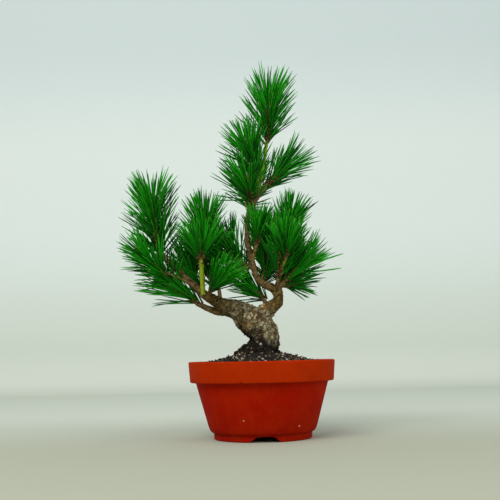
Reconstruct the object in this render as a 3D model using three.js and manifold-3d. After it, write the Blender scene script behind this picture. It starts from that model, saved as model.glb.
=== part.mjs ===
// A young black pine trained as a bonsai, in a round terracotta training pot with its soil.
// Millimetres, +Z up, the front of the tree towards -Y. The pot's axis is x = 0, y = 0 while the
// pieces are made; at the end the whole group is moved so that the origin is the bottom centre
// of the overall box. Heights in the tree's tables count from the plane of the pot's rim.

import * as THREE from "three";
import { mergeVertices } from "three/addons/utils/BufferGeometryUtils.js";
import Module from "manifold-3d";

const wasm = await Module();
wasm.setup();

// ---------------------------------------------------------------- driving dimensions

const CLEARANCE = 0.3; // gap kept between neighbouring solids
const OVERCUT = 2; // how far a cutter reaches past what it cuts
const POT_SEGMENTS = 40; // facets round the pot and the soil

// pot
const POT_HEIGHT = 78;
const RIM_RADIUS = 75; // outside, at the top edge
const RIM_BAND = 21; // height of the thick band under the rim
const RIM_DRAFT = 1.7; // the band is this much narrower at its lower edge
const RIM_WIDTH = 6.5; // flat top edge of the rim
const RIM_STEP = 5.6; // overhang of the band over the body
const RIM_CHAMFER = 0.9; // of the band's edges
const WALL = 4.6; // thickness of the body's wall
const BODY_FOOT_RADIUS = 55; // outside of the body where it starts to round in
const BODY_ROUNDING = 5; // height of the rounding above the foot
const ROUNDING_IN = 1.75; // the rounding's middle edge: this far inside BODY_FOOT_RADIUS
const ROUNDING_UP = 1.5; // and this far above the foot
const FOOT_RADIUS = 49.5;
const FOOT_HEIGHT = 7;
const FOOT_DRAFT = 1.1;
const FOOT_WIDTH = 6; // of the ring that the pot stands on
const FLOOR = 6; // thickness of the floor
const FLOOR_SINK = 1; // the floor's underside lies this far below the top of the foot ring
const DRAIN_RADIUS = 11;
const NOTCH_WIDTH = 32; // of each arched gap in the foot ring, where it meets the ground
const NOTCH_TOP_WIDTH = 19;
const NOTCH_HEIGHT = 5.6;
const NOTCH_SHOULDER = 0.85; // share of a gap's height at which its flat arch starts
const NOTCH_FLARE = 2; // bulge of a gap's sides towards its foot
const NOTCHES = 3;
const FIRST_NOTCH = THREE.MathUtils.degToRad(-88); // the front one, a little off the middle

// drainage net over the hole, and the wire staple that holds it
const NET_PITCH = 7.4;
const NET_HOLES = 5; // along each side
const NET_STRAND = 2.2;
const NET_THICKNESS = 1.4;
const WIRE_RADIUS = 0.75;
const WIRE_TAIL = 11; // bent outwards under the pot's floor
const WIRE_BEND = 2;
const WIRE_STEPS = 30; // straight pieces that stand for its curve

// soil
const SOIL_DROP = 5; // of the soil's edge below the rim
const SOIL_MOUND = 7; // height of the soil at the trunk above the rim
const MOUND_RADIUS = 20; // where the soil starts to fall away towards the rim

// tree
const TREE_HEIGHT = 315; // from the rim's plane to the highest needle tips
const DRAWN_HEIGHT = 315; // the height at which the tables below are drawn
const GIRTH = 1; // multiplies the radius of all the wood
const NEEDLE_REACH = 1; // multiplies the length of all the needles

// ---------------------------------------------------------------- the wood
// Each limb is a list of [x, y, height above the rim, radius], from its root outwards.

const WOOD = {
  trunk: [
    [-2, 0, -22, 21],
    [-2, 0, -6, 20.5],
    [-1, 0, 8, 18.8],
    [3.5, 0, 17, 16.2],
    [4, 0, 25, 15.6],
    [0, 0, 33, 16.3],
    [-10, 0, 41, 17],
    [-16, 0, 46, 15],
    [-21, 0, 51, 11.6],
    [-27, 0, 54, 9.3],
    [-34, -1, 56, 8.2],
    [-43, -3, 60, 7],
    [-51, -6, 65, 5.8],
    [-58, -8, 69, 4.6],
    [-67, -6, 78, 3.5],
    [-80, -2, 90, 3.1],
    [-90, 0, 100, 2.8],
    [-100, 0, 110, 2.6],
    [-104, 0, 124, 2.4],
    [-106, 0, 133, 2.2],
  ],
  leader: [
    [-6, 0, 33, 14.5],
    [2, 0, 46, 11],
    [10, 0, 53.5, 8.2],
    [18, 0, 59, 7],
    [20, 0, 66, 6.2],
    [16, 0, 73, 5.2],
    [7, 2, 77, 4.2],
    [-1, 4, 83, 3.7],
    [-5, 4, 93, 3.5],
    [-8, 3, 106, 3.4],
    [-11, 1, 120, 3],
    [-12, 0, 136, 2.9],
    [-11, 0, 149, 2.8],
    [-4, -2, 163, 2.6],
    [1, -1, 178, 2.4],
    [4, 0, 190, 2.3],
  ],
  lower_limb: [
    [-16, 2, 45, 9],
    [-31, 4, 50.5, 6],
    [-46, 5, 51.5, 4.3],
    [-57, 4, 56, 3.5],
    [-65, 2, 60, 2.9],
    [-72, 0, 66, 2.3],
  ],
  pruned_stub: [
    [-14, 2, 48, 8],
    [-18, 3, 57, 5.5],
    [-19, 3, 60.5, 3],
  ],
  left_low_branch: [
    [-58, -8, 70, 3],
    [-70, -10, 79, 2.2],
    [-88, -12, 88, 1.9],
    [-101, -12, 93, 1.7],
  ],
  left_back_branch: [
    [-50, -2, 64, 3],
    [-60, 12, 73, 2],
    [-68, 22, 83, 1.7],
  ],
  dark_twig: [
    [-41, 0, 60, 3],
    [-43, 8, 78, 2],
    [-47, 10, 93, 1.7],
    [-54, 9, 109, 1.6],
  ],
  front_candle_spur: [
    [-56, -8, 67, 3],
    [-58, -15, 71, 2.6],
  ],
  right_branch: [
    [18, 0, 71, 4.6],
    [22, -4, 77, 3.2],
    [28, -5, 82, 2.3],
  ],
  right_riser: [
    [18, -1, 72, 4],
    [19, -8, 82, 2.4],
    [22, -11, 94, 1.9],
    [25, -11, 112, 1.6],
  ],
  right_back_branch: [
    [18, 1, 69, 4],
    [22, 14, 79, 2.2],
    [27, 24, 89, 1.7],
  ],
  heart_twig: [
    [8, 1, 54, 5],
    [5, 9, 61, 2.4],
    [1, 14, 67, 1.8],
  ],
  middle_back_branch: [
    [1, 4, 80, 2.8],
    [5, 13, 91, 1.9],
    [7, 18, 103, 1.6],
  ],
  middle_left_twig: [
    [-5, 4, 95, 2.6],
    [-14, 6, 100, 1.8],
    [-22, 7, 106, 1.6],
  ],
  crown_right_branch: [
    [-3, -2, 165, 2.2],
    [6, 7, 178, 1.7],
    [14, 12, 188, 1.5],
  ],
  crown_back_branch: [
    [-11, 0, 150, 2.4],
    [-10, 12, 162, 1.7],
    [-10, 20, 172, 1.5],
  ],
};

// Surface roots: [direction in degrees, reach, radius where it leaves the trunk].
const ROOTS = [
  [188, 35, 9.5],
  [238, 30, 7],
  [292, 31, 7.5],
  [350, 27, 6.5],
  [45, 30, 7],
  [120, 32, 7.5],
];
const ROOT_CROWN = 14; // height above the rim at which the roots leave the trunk
const ROOT_END_DEPTH = -18; // height above the rim at which they end, in the soil
const ROOT_END_RADIUS = 2.2;
const ROOT_LINE = [
  [0.15, ROOT_CROWN],
  [0.5, ROOT_CROWN * 0.55],
  [0.8, 0],
  [1, ROOT_END_DEPTH],
]; // share of a root's reach, and its height above the rim there
const THICK_LIMB = 10; // a limb that starts with more than this radius is gnarled
const WOOD_GNARL = 0.05; // unevenness of a gnarled limb, as a share of its radius

// ---------------------------------------------------------------- the shoots
// A shoot is one season's stem: path is a list of [x, y, height above the rim], and the needles
// grow on it from the share bare of its length up to the bud. needle is the needles' length and
// spread the angle, in degrees, at which the lowest of them lean out from the stem.

const SHOOTS = [
  { name: "apex", radius: 1.9, bare: 0.42, needle: 46, spread: 32,
    path: [[4, 0, 189], [10, 0, 222], [13, 0, 237], [14, 0, 259], [14.5, 0, 275]] },
  { name: "crown_left", radius: 1.6, bare: 0.25, needle: 44, spread: 30,
    path: [[2, -2, 181], [-3, -8, 200], [-9, -12, 222]] },
  { name: "crown_front", radius: 1.7, bare: 0.1, needle: 48, spread: 36,
    path: [[-5, -2, 162], [-8, -11, 168], [-10, -18, 182]] },
  { name: "crown_right", radius: 1.5, bare: 0.1, needle: 46, spread: 25,
    path: [[14, 12, 188], [22, 16, 197], [32, 19, 208]] },
  { name: "crown_back", radius: 1.5, bare: 0.15, needle: 46, spread: 32,
    path: [[-10, 20, 172], [-10, 28, 182], [-9, 33, 196]] },
  { name: "left_top", radius: 1.9, bare: 0, needle: 46, spread: 33,
    path: [[-106, 0, 133], [-109, 0, 151], [-111, 0, 168]] },
  { name: "left_centre_front", radius: 2.9, bare: 0.72, needle: 42, spread: 32,
    path: [[-58, -15, 71], [-59, -18, 77], [-59, -20, 101], [-60, -21, 115]] },
  { name: "left_centre_back", radius: 1.7, bare: 0.1, needle: 46, spread: 30,
    path: [[-54, 9, 109], [-57, 8, 130], [-57, 8, 148]] },
  { name: "left_low_front", radius: 1.6, bare: 0.1, needle: 38, spread: 32,
    path: [[-101, -12, 93], [-110, -18, 100], [-119, -24, 110]] },
  { name: "left_trailing", radius: 1.6, bare: 0, needle: 50, spread: 22,
    path: [[-72, 0, 66], [-80, -2, 71], [-89, -3, 77]] },
  { name: "left_back", radius: 1.5, bare: 0.1, needle: 42, spread: 32,
    path: [[-68, 22, 83], [-73, 28, 94], [-76, 31, 108]] },
  { name: "limb_front", radius: 1.7, bare: 0, needle: 46, spread: 20,
    path: [[-54, -8, 68], [-50, -16, 72], [-44, -21, 78]] },
  { name: "middle_left", radius: 1.5, bare: 0, needle: 44, spread: 30,
    path: [[-22, 7, 106], [-28, 8, 113], [-31, 9, 122]] },
  { name: "middle_front", radius: 1.8, bare: 0.45, needle: 36, spread: 24,
    path: [[-7, 2, 104], [-3, -5, 112], [-1, -8, 124], [0, -9, 138]] },
  { name: "middle_back", radius: 1.5, bare: 0.1, needle: 44, spread: 32,
    path: [[7, 18, 103], [8, 23, 116], [9, 26, 130]] },
  { name: "heart", radius: 1.5, bare: 0, needle: 40, spread: 24,
    path: [[1, 14, 67], [-5, 18, 72], [-12, 20, 79]] },
  { name: "right_upper", radius: 1.7, bare: 0.05, needle: 40, spread: 30,
    path: [[25, -11, 112], [28, -10, 128], [34, -10, 147]] },
  { name: "right_front", radius: 2, bare: 0.5, needle: 38, spread: 26,
    path: [[22, -10, 92], [27, -17, 98], [28, -20, 108], [28, -21, 118]] },
  { name: "right_outer", radius: 1.7, bare: 0, needle: 48, spread: 26,
    path: [[28, -5, 82], [37, -7, 90], [46, -9, 98]] },
  { name: "right_low", radius: 1.5, bare: 0, needle: 32, spread: 20,
    path: [[21, -3, 76], [30, 4, 77], [38, 7, 79]] },
  { name: "right_back", radius: 1.5, bare: 0.1, needle: 44, spread: 32,
    path: [[27, 24, 89], [31, 31, 99], [34, 35, 112]] },
];
const BUD_LENGTH = 8;
const BUD_SWELL = 1.35; // widest part of a bud against its stem
const BUD_WIDEST = 0.35; // share of a bud's length at which it is widest
const BUD_POINT = 0.3; // a bud's end against its stem
const STEM_FOOT = 1.1; // a stem's foot against its middle
const STEM_HEAD = 0.85; // a stem's upper end against its middle
const NEEDLES_PER_TUFT = 16; // each of these stands for several pairs of real ones
const NEEDLE_RADIUS = 1.2; // where it leaves the stem; it tapers to a point
const TOP_LEAN = 7; // degrees from the stem at which the highest needles stand
const SHEATH = 1.4; // thickness of the sleeve of sheaths that joins a tuft's needles
const SLEEVE_SIDES = 6;
const NEEDLE_BITE = 0.2; // depth of a needle's root in the sleeve
const SHEATH_START = 2.5; // bare length of every stem below its sleeve, at least
const LATEST_SLEEVE = 0.7; // share of a stem's length by which its sleeve has started
const NEEDLE_FOOT = 5; // length of a needle that lies beside its own stem
const SLEEVE_END = 0.03; // share of the sleeve without needles at each end
const GOLDEN_ANGLE = Math.PI * (3 - Math.sqrt(5)); // from one needle round the stem to the next
const LEAN_VARIES = 0.16; // share by which a needle's lean differs from the even one
const LENGTH_VARIES = 0.07; // share about which a needle's length differs
const TURNS_TRIED = 12; // directions that a needle tries when it has little room
const NEXT_TRY = 0.37; // share of the golden angle from one of those directions to the next
const LEAST_NEEDLE = 14; // a needle with less room than this grows on another side of its stem

// ---------------------------------------------------------------- helpers

const treeScale = TREE_HEIGHT / DRAWN_HEIGHT;

/** A point of the tree's tables in the part's millimetres. */
function treePoint([x, y, height]) {
  return new THREE.Vector3(x, y, height).multiplyScalar(treeScale).setZ(POT_HEIGHT + height * treeScale);
}

/** A three.js geometry as a manifold-3d solid. */
function solidOf(geometry) {
  const bare = geometry.clone();
  bare.deleteAttribute("normal");
  bare.deleteAttribute("uv");
  const merged = mergeVertices(bare, 1e-3);
  const mesh = new wasm.Mesh({
    numProp: 3,
    vertProperties: merged.attributes.position.array,
    triVerts: new Uint32Array(merged.index.array),
  });
  return new wasm.Manifold(mesh);
}

/** A manifold-3d solid as a three.js geometry. */
function geometryOf(solid) {
  const { numProp, numVert, vertProperties, triVerts } = solid.getMesh();
  const positions = new Float32Array(numVert * 3);
  for (let i = 0; i < numVert; i++) {
    positions.set(vertProperties.subarray(i * numProp, i * numProp + 3), i * 3);
  }
  return new THREE.BufferGeometry()
    .setAttribute("position", new THREE.BufferAttribute(positions, 3))
    .setIndex(new THREE.BufferAttribute(triVerts, 1));
}

/** The largest of a solid's separate bodies. */
function mainBody(solid) {
  return solid.decompose().reduce((best, body) => (body.volume() > best.volume() ? body : best));
}

/** Several solids joined into one. */
function join(solids) {
  return solids.reduce((whole, next) => whole.add(next));
}

/** A shape turned about the Z axis from a profile of [radius, height]. */
function lathe(profile) {
  const points = profile.map(([r, z]) => new THREE.Vector2(r, z));
  return new THREE.LatheGeometry(points, POT_SEGMENTS).rotateX(Math.PI / 2);
}

/** Shares of a whole that divide it evenly. */
function evenShares(steps) {
  return Array.from({ length: steps + 1 }, (_, i) => i / steps);
}

/**
 * A closed tube along a smooth line, with a ring of corners at each of the shares of its length.
 * radiusAt(t) is its radius at share t. A gnarl above 0 makes its rings uneven by about that
 * share of the radius.
 */
function taperedTube(points, radiusAt, sides, shares, gnarl = 0) {
  const line = new THREE.CatmullRomCurve3(points, false, "centripetal");
  const rings = [];
  let ahead = line.getTangentAt(0);
  const across = new THREE.Vector3(0, 1, 0).cross(ahead).normalize();
  for (const share of shares) {
    const tangent = line.getTangentAt(share);
    across.applyQuaternion(new THREE.Quaternion().setFromUnitVectors(ahead, tangent));
    ahead = tangent;
    const up = across.clone().cross(tangent);
    rings.push({ share, centre: line.getPointAt(share), across: across.clone(), up });
  }
  const tube = new THREE.CylinderGeometry(1, 1, 1, sides, shares.length - 1);
  const position = tube.getAttribute("position");
  for (let i = 0; i < position.count; i++) {
    const x = position.getX(i);
    const z = position.getZ(i);
    const row = Math.round((position.getY(i) + 0.5) * (rings.length - 1));
    const { share, centre, across: sideways, up } = rings[row];
    const turn = Math.atan2(z, x);
    const unevenness = Math.sin(2 * turn + row * 1.3) + 0.7 * Math.sin(3 * turn - row * 2.1);
    const radius = radiusAt(share) * (1 + gnarl * unevenness * Math.hypot(x, z));
    const corner = centre.clone().addScaledVector(sideways, x * radius).addScaledVector(up, z * radius);
    position.setXYZ(i, corner.x, corner.y, corner.z);
  }
  return tube;
}

/** The value at share t along a list of stations [share, value]. */
function along(stations, t) {
  const last = stations.length - 1;
  let i = 0;
  while (i < last - 1 && stations[i + 1][0] < t) i++;
  const [t0, v0] = stations[i];
  const [t1, v1] = stations[i + 1];
  return THREE.MathUtils.lerp(v0, v1, THREE.MathUtils.clamp((t - t0) / (t1 - t0), 0, 1));
}

/** Shares of the length at which a list of points is reached. */
function sharesOf(points) {
  const reached = [0];
  for (let i = 1; i < points.length; i++) reached.push(reached[i - 1] + points[i].distanceTo(points[i - 1]));
  return reached.map((length) => length / reached.at(-1));
}

// ---------------------------------------------------------------- pot

const floorUnder = FOOT_HEIGHT - FLOOR_SINK;
const floorTop = floorUnder + FLOOR;
const rimBottom = POT_HEIGHT - RIM_BAND;
const bodyTopRadius = RIM_RADIUS - RIM_DRAFT - RIM_STEP;
const innerTopRadius = RIM_RADIUS - RIM_WIDTH;
const innerFloorRadius = BODY_FOOT_RADIUS - WALL;

/** Radius of the pot's inside wall at a height. */
function insideRadius(z) {
  const t = (z - floorTop) / (rimBottom - floorTop);
  const wall = THREE.MathUtils.lerp(innerFloorRadius, bodyTopRadius - WALL, Math.min(t, 1));
  const band = THREE.MathUtils.clamp((z - rimBottom) / RIM_BAND, 0, 1);
  return THREE.MathUtils.lerp(wall, innerTopRadius, band);
}

function makePot() {
  const bodyStart = FOOT_HEIGHT + BODY_ROUNDING;
  const shell = solidOf(
    lathe([
      [DRAIN_RADIUS, floorUnder],
      [FOOT_RADIUS - FOOT_WIDTH, floorUnder],
      [FOOT_RADIUS - FOOT_WIDTH, 0],
      [FOOT_RADIUS, 0],
      [FOOT_RADIUS + FOOT_DRAFT, FOOT_HEIGHT],
      [BODY_FOOT_RADIUS - ROUNDING_IN, FOOT_HEIGHT + ROUNDING_UP],
      [BODY_FOOT_RADIUS, bodyStart],
      [bodyTopRadius, rimBottom],
      [RIM_RADIUS - RIM_DRAFT - RIM_CHAMFER, rimBottom],
      [RIM_RADIUS - RIM_DRAFT, rimBottom + RIM_CHAMFER],
      [RIM_RADIUS, POT_HEIGHT - RIM_CHAMFER],
      [RIM_RADIUS - RIM_CHAMFER, POT_HEIGHT],
      [innerTopRadius + RIM_CHAMFER, POT_HEIGHT],
      [innerTopRadius, POT_HEIGHT - RIM_CHAMFER],
      [insideRadius(rimBottom), rimBottom],
      [innerFloorRadius, floorTop],
      [DRAIN_RADIUS, floorTop],
      [DRAIN_RADIUS, floorUnder],
    ]),
  );
  return shell.subtract(join(notches()));
}

/** The arched gaps in the foot ring, as cutters that reach from inside the ring to outside it. */
function notches() {
  const low = NOTCH_WIDTH / 2;
  const high = NOTCH_TOP_WIDTH / 2;
  const shoulder = NOTCH_HEIGHT * NOTCH_SHOULDER;
  const crown = 2 * NOTCH_HEIGHT - shoulder; // the curve's middle point, whose arch reaches NOTCH_HEIGHT
  const arch = new THREE.Shape();
  arch.moveTo(-low, -OVERCUT);
  arch.lineTo(low, -OVERCUT);
  arch.lineTo(low, 0);
  arch.quadraticCurveTo(high + NOTCH_FLARE, NOTCH_FLARE, high, shoulder);
  arch.quadraticCurveTo(0, crown, -high, shoulder);
  arch.quadraticCurveTo(-high - NOTCH_FLARE, NOTCH_FLARE, -low, 0);
  arch.closePath();
  const inwards = OVERCUT + FOOT_RADIUS - FOOT_WIDTH - Math.sqrt((FOOT_RADIUS - FOOT_WIDTH) ** 2 - low ** 2);
  const depth = inwards + FOOT_WIDTH + FOOT_DRAFT + OVERCUT;
  const block = new THREE.ExtrudeGeometry(arch, { depth, bevelEnabled: false, curveSegments: 3 });
  // The outline stands upright, and its depth runs outwards along +X.
  block.rotateX(Math.PI / 2);
  block.rotateZ(Math.PI / 2);
  block.translate(FOOT_RADIUS - FOOT_WIDTH - inwards, 0, 0);
  const cutters = [];
  for (let i = 0; i < NOTCHES; i++) {
    const turned = block.clone().rotateZ(FIRST_NOTCH + (i * 2 * Math.PI) / NOTCHES);
    cutters.push(solidOf(turned));
  }
  return cutters;
}

// ---------------------------------------------------------------- drainage net and its wire

const netSide = NET_HOLES * NET_PITCH + NET_STRAND;
const netBottom = floorTop + CLEARANCE;
const netTop = netBottom + NET_THICKNESS;
const wireTopZ = netTop + CLEARANCE + WIRE_RADIUS;
const wireTailZ = floorUnder - CLEARANCE - WIRE_RADIUS;

/** A block with a square plan about [x, y], with its lower face at the height bottom. */
function squareBlock(side, bottom, thickness, x = 0, y = 0) {
  return solidOf(new THREE.BoxGeometry(side, side, thickness).translate(x, y, bottom + thickness / 2));
}

function makeNet() {
  const holes = [];
  const middle = (NET_HOLES - 1) / 2;
  for (let i = 0; i < NET_HOLES; i++) {
    for (let j = 0; j < NET_HOLES; j++) {
      const x = (i - middle) * NET_PITCH;
      const y = (j - middle) * NET_PITCH;
      holes.push(squareBlock(NET_PITCH - NET_STRAND, netBottom - OVERCUT, NET_THICKNESS + 2 * OVERCUT, x, y));
    }
  }
  return squareBlock(netSide, netBottom, NET_THICKNESS).subtract(join(holes));
}

/** The staple: over the net, down through two of its holes and the drain, and out under the floor. */
function makeWire(grow = 0) {
  const legX = NET_PITCH;
  const half = [
    [legX - WIRE_BEND, wireTopZ],
    [legX, wireTopZ - WIRE_BEND],
    [legX, wireTailZ + WIRE_BEND],
    [legX + WIRE_BEND, wireTailZ],
    [legX + WIRE_TAIL, wireTailZ],
  ];
  const right = half.map(([x, z]) => new THREE.Vector3(x, 0, z));
  const left = half.map(([x, z]) => new THREE.Vector3(-x, 0, z)).reverse();
  const section = new THREE.Shape().absarc(0, 0, WIRE_RADIUS + grow, 0, 2 * Math.PI);
  const route = new THREE.CatmullRomCurve3([...left, ...right], false, "centripetal");
  return solidOf(
    new THREE.ExtrudeGeometry(section, { extrudePath: route, steps: WIRE_STEPS, curveSegments: 3 }),
  );
}

// ---------------------------------------------------------------- wood

/** A limb's line, and its radius at share t of its length. */
function limbShape(stations, grow) {
  const points = stations.map(treePoint);
  const shares = sharesOf(points);
  const radii = stations.map(([, , , radius], i) => [shares[i], radius * GIRTH * treeScale + grow]);
  return { points, radiusAt: (t) => along(radii, t) };
}

/** All the wood in one solid; grow makes it thicker all over. */
function makeWood(grow = 0) {
  const limbs = Object.values(WOOD).map((stations) => {
    const { points, radiusAt } = limbShape(stations, grow);
    const thick = stations[0][3] > THICK_LIMB;
    const steps = Math.max(3, Math.round(stations.length * (thick ? 1.25 : 1)));
    return solidOf(taperedTube(points, radiusAt, thick ? 10 : 6, evenShares(steps), thick ? WOOD_GNARL : 0));
  });
  return join([...limbs, ...makeRoots(grow)]);
}

function makeRoots(grow) {
  return ROOTS.map(([degrees, reach, radius]) => {
    const angle = THREE.MathUtils.degToRad(degrees);
    const points = ROOT_LINE.map(([share, height]) =>
      treePoint([Math.cos(angle) * reach * share, Math.sin(angle) * reach * share, height]),
    );
    const thickness = (t) => THREE.MathUtils.lerp(radius, ROOT_END_RADIUS, t) * GIRTH * treeScale + grow;
    return solidOf(taperedTube(points, thickness, 6, evenShares(4)));
  });
}

// ---------------------------------------------------------------- soil

function makeSoil(woodCutter) {
  const bottom = floorTop + CLEARANCE;
  const edge = POT_HEIGHT - SOIL_DROP;
  const mass = solidOf(
    lathe([
      [0, bottom],
      [innerFloorRadius - CLEARANCE, bottom],
      [insideRadius(rimBottom) - CLEARANCE, rimBottom],
      [insideRadius(edge) - CLEARANCE, edge],
      [MOUND_RADIUS, POT_HEIGHT + SOIL_MOUND],
      [0, POT_HEIGHT + SOIL_MOUND],
    ]),
  );
  const netPocket = squareBlock(netSide + 2 * CLEARANCE, bottom - OVERCUT, NET_THICKNESS + CLEARANCE + OVERCUT);
  // The roots can cut small crumbs off the mound; only the one mass of soil is kept.
  // The wood itself is cut out too: at a sharp bend its thickened copy can fall a little short of it.
  const dug = mass.subtract(woodCutter).subtract(makeWood());
  return mainBody(dug.subtract(netPocket).subtract(makeWire(CLEARANCE)));
}

// ---------------------------------------------------------------- shoots and needles

/** A stem's line and radius, with the winter bud at its tip. */
function stemShape(shoot, grow) {
  const points = shoot.path.map(treePoint);
  const stemLength = new THREE.CatmullRomCurve3(points, false, "centripetal").getLength();
  const ahead = points.at(-1).clone().sub(points.at(-2)).normalize();
  points.push(points.at(-1).clone().addScaledVector(ahead, BUD_LENGTH + grow));
  const whole = stemLength + BUD_LENGTH;
  const radius = shoot.radius * GIRTH * treeScale;
  const stations = [
    [0, radius * STEM_FOOT],
    [(stemLength / whole) * 0.5, radius],
    [stemLength / whole, radius * STEM_HEAD],
    [(stemLength + BUD_LENGTH * BUD_WIDEST) / whole, radius * BUD_SWELL],
    [1, radius * BUD_POINT],
  ];
  return { points, shares: stations.map(([share]) => share), radiusAt: (t) => along(stations, t) + grow };
}

function makeStem(shoot, grow = 0) {
  const { points, shares, radiusAt } = stemShape(shoot, grow);
  return solidOf(taperedTube(points, radiusAt, 5, shares));
}

function stemName(shoot) {
  return "shoot_" + shoot.name;
}

function tuftName(shoot) {
  return "needles_" + shoot.name;
}

/**
 * The stem's line and the part of it, as shares of its length, that bears needles: from where
 * the sleeve stands clear of the wood that the stem grows from.
 */
function needleZone(shoot, wood) {
  const stem = new THREE.CatmullRomCurve3(shoot.path.map(treePoint), false, "centripetal");
  const length = stem.getLength();
  const isClear = (t) => {
    const ahead = stem.getTangentAt(t);
    const across = new THREE.Vector3(0, 1, 0).cross(ahead).setLength(sleeveRadius(shoot));
    for (let i = 0; i < SLEEVE_SIDES * 2; i++) {
      const corner = stem.getPointAt(t).add(across.applyAxisAngle(ahead, Math.PI / SLEEVE_SIDES));
      if (!wood.isFree(corner, (ball) => ball.point.distanceTo(corner) > ball.radius + CLEARANCE)) return false;
    }
    return true;
  };
  let from = Math.max(shoot.bare, SHEATH_START / length);
  while (from < LATEST_SLEEVE && !isClear(from)) from += 0.5 / length;
  return { stem, from, to: 1 - 0.5 / length };
}

/** The outside of the sleeve of sheaths round a shoot's stem. */
function makeSleeve(shoot, { stem, from, to }) {
  const points = evenShares(3).map((share) => stem.getPointAt(THREE.MathUtils.lerp(from, to, share)));
  return solidOf(taperedTube(points, () => sleeveRadius(shoot), SLEEVE_SIDES, evenShares(2)));
}

function sleeveRadius(shoot) {
  return shoot.radius * GIRTH * treeScale * STEM_FOOT + CLEARANCE + SHEATH;
}

/** The space that is taken, kept as balls in cells, so that what grows later can stay clear of it. */
class TakenSpace {
  constructor(cell = 8) {
    this.cell = cell;
    this.cells = new Map();
  }

  key(x, y, z) {
    return Math.round(x / this.cell) + "," + Math.round(y / this.cell) + "," + Math.round(z / this.cell);
  }

  add(point, radius, owner) {
    const reach = Math.ceil(radius / this.cell);
    for (let i = -reach; i <= reach; i++) {
      for (let j = -reach; j <= reach; j++) {
        for (let k = -reach; k <= reach; k++) {
          const key = this.key(point.x + i * this.cell, point.y + j * this.cell, point.z + k * this.cell);
          if (!this.cells.has(key)) this.cells.set(key, []);
          this.cells.get(key).push({ point, radius, owner });
        }
      }
    }
  }

  /** Whether fits(ball) holds for all the balls near a point. */
  isFree(at, fits) {
    for (let i = -1; i <= 1; i++) {
      for (let j = -1; j <= 1; j++) {
        for (let k = -1; k <= 1; k++) {
          const key = this.key(at.x + i * this.cell, at.y + j * this.cell, at.z + k * this.cell);
          if (this.cells.has(key) && !this.cells.get(key).every(fits)) return false;
        }
      }
    }
    return true;
  }

  /** Takes the space of a tube along a line, as balls a millimetre apart. */
  addTube(points, radiusAt, owner) {
    const line = new THREE.CatmullRomCurve3(points, false, "centripetal");
    const count = Math.ceil(line.getLength());
    for (let i = 0; i <= count; i++) this.add(line.getPointAt(i / count), radiusAt(i / count), owner);
  }
}

/** Where one needle of a shoot would grow: its root on the stem, and its direction. */
function needleAt(shoot, zone, index, turns) {
  const share = (index + 0.5) / NEEDLES_PER_TUFT;
  const along = THREE.MathUtils.lerp(SLEEVE_END, 1 - SLEEVE_END, share);
  const t = THREE.MathUtils.lerp(zone.from, zone.to, along);
  const root = zone.stem.getPointAt(t);
  const ahead = zone.stem.getTangentAt(t);
  const side = new THREE.Vector3(0, 1, 0).cross(ahead).normalize();
  side.applyAxisAngle(ahead, (index + turns * NEXT_TRY) * GOLDEN_ANGLE);
  const evenLean = THREE.MathUtils.lerp(shoot.spread, TOP_LEAN, share ** 1.3);
  const lean = THREE.MathUtils.degToRad(evenLean * (1 + LEAN_VARIES * Math.sin(index * 12.9898 + 1.7)));
  const direction = ahead.multiplyScalar(Math.cos(lean)).addScaledVector(side, Math.sin(lean));
  const length = shoot.needle * NEEDLE_REACH * (1 - LENGTH_VARIES * (1 - Math.sin(index * 4.1414)));
  const flat = sleeveRadius(shoot) * Math.cos(Math.PI / SLEEVE_SIDES); // the middle of the sleeve's sides
  return { root: root.addScaledVector(side, flat - NEEDLE_BITE), direction, length };
}

/**
 * The length that a needle can grow before it comes too near to something. It may touch the
 * needles and the sleeve of its own tuft, which it is joined to, and lie along its own stem.
 */
function freeLength(needle, taken, shoot) {
  const point = new THREE.Vector3();
  const step = 0.75;
  for (let reached = 0; reached <= needle.length; reached += step) {
    point.copy(needle.root).addScaledVector(needle.direction, reached);
    const radius = needleRadius(reached / needle.length);
    const fits = (ball) => {
      if (ball.owner === tuftName(shoot)) return true;
      const away = ball.point.distanceTo(point) - ball.radius - CLEARANCE;
      return ball.owner === stemName(shoot) ? reached < NEEDLE_FOOT || away > 0 : away > radius;
    };
    if (!taken.isFree(point, fits)) return Math.max(reached - step, 0);
  }
  return needle.length;
}

function needleRadius(share) {
  return NEEDLE_RADIUS * (1 - share);
}

/** A shoot's needles, joined by their sleeve. Each stops short of whatever stands in its way. */
function makeTuft(shoot, zone, taken) {
  const solids = [makeSleeve(shoot, zone)];
  for (let index = 0; index < NEEDLES_PER_TUFT; index++) {
    let best = null;
    for (let turns = 0; turns < TURNS_TRIED && (best?.length ?? 0) < LEAST_NEEDLE; turns++) {
      const needle = needleAt(shoot, zone, index, turns);
      needle.length = freeLength(needle, taken, shoot);
      if (!best || needle.length > best.length) best = needle;
    }
    const length = Math.max(best.length, SHEATH);
    const blade = new THREE.ConeGeometry(NEEDLE_RADIUS, length, 3, 1).translate(0, length / 2, 0);
    const turn = new THREE.Quaternion().setFromUnitVectors(new THREE.Vector3(0, 1, 0), best.direction);
    solids.push(solidOf(blade.applyQuaternion(turn).translate(best.root.x, best.root.y, best.root.z)));
    const end = best.root.clone().addScaledVector(best.direction, length);
    taken.addTube([best.root, end], needleRadius, tuftName(shoot));
  }
  return join(solids).subtract(makeStem(shoot, CLEARANCE));
}

function takeWood(taken) {
  for (const stations of Object.values(WOOD)) {
    const { points, radiusAt } = limbShape(stations, 0);
    taken.addTube(points, (t) => radiusAt(t) * (1 + WOOD_GNARL), "wood");
  }
}

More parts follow.
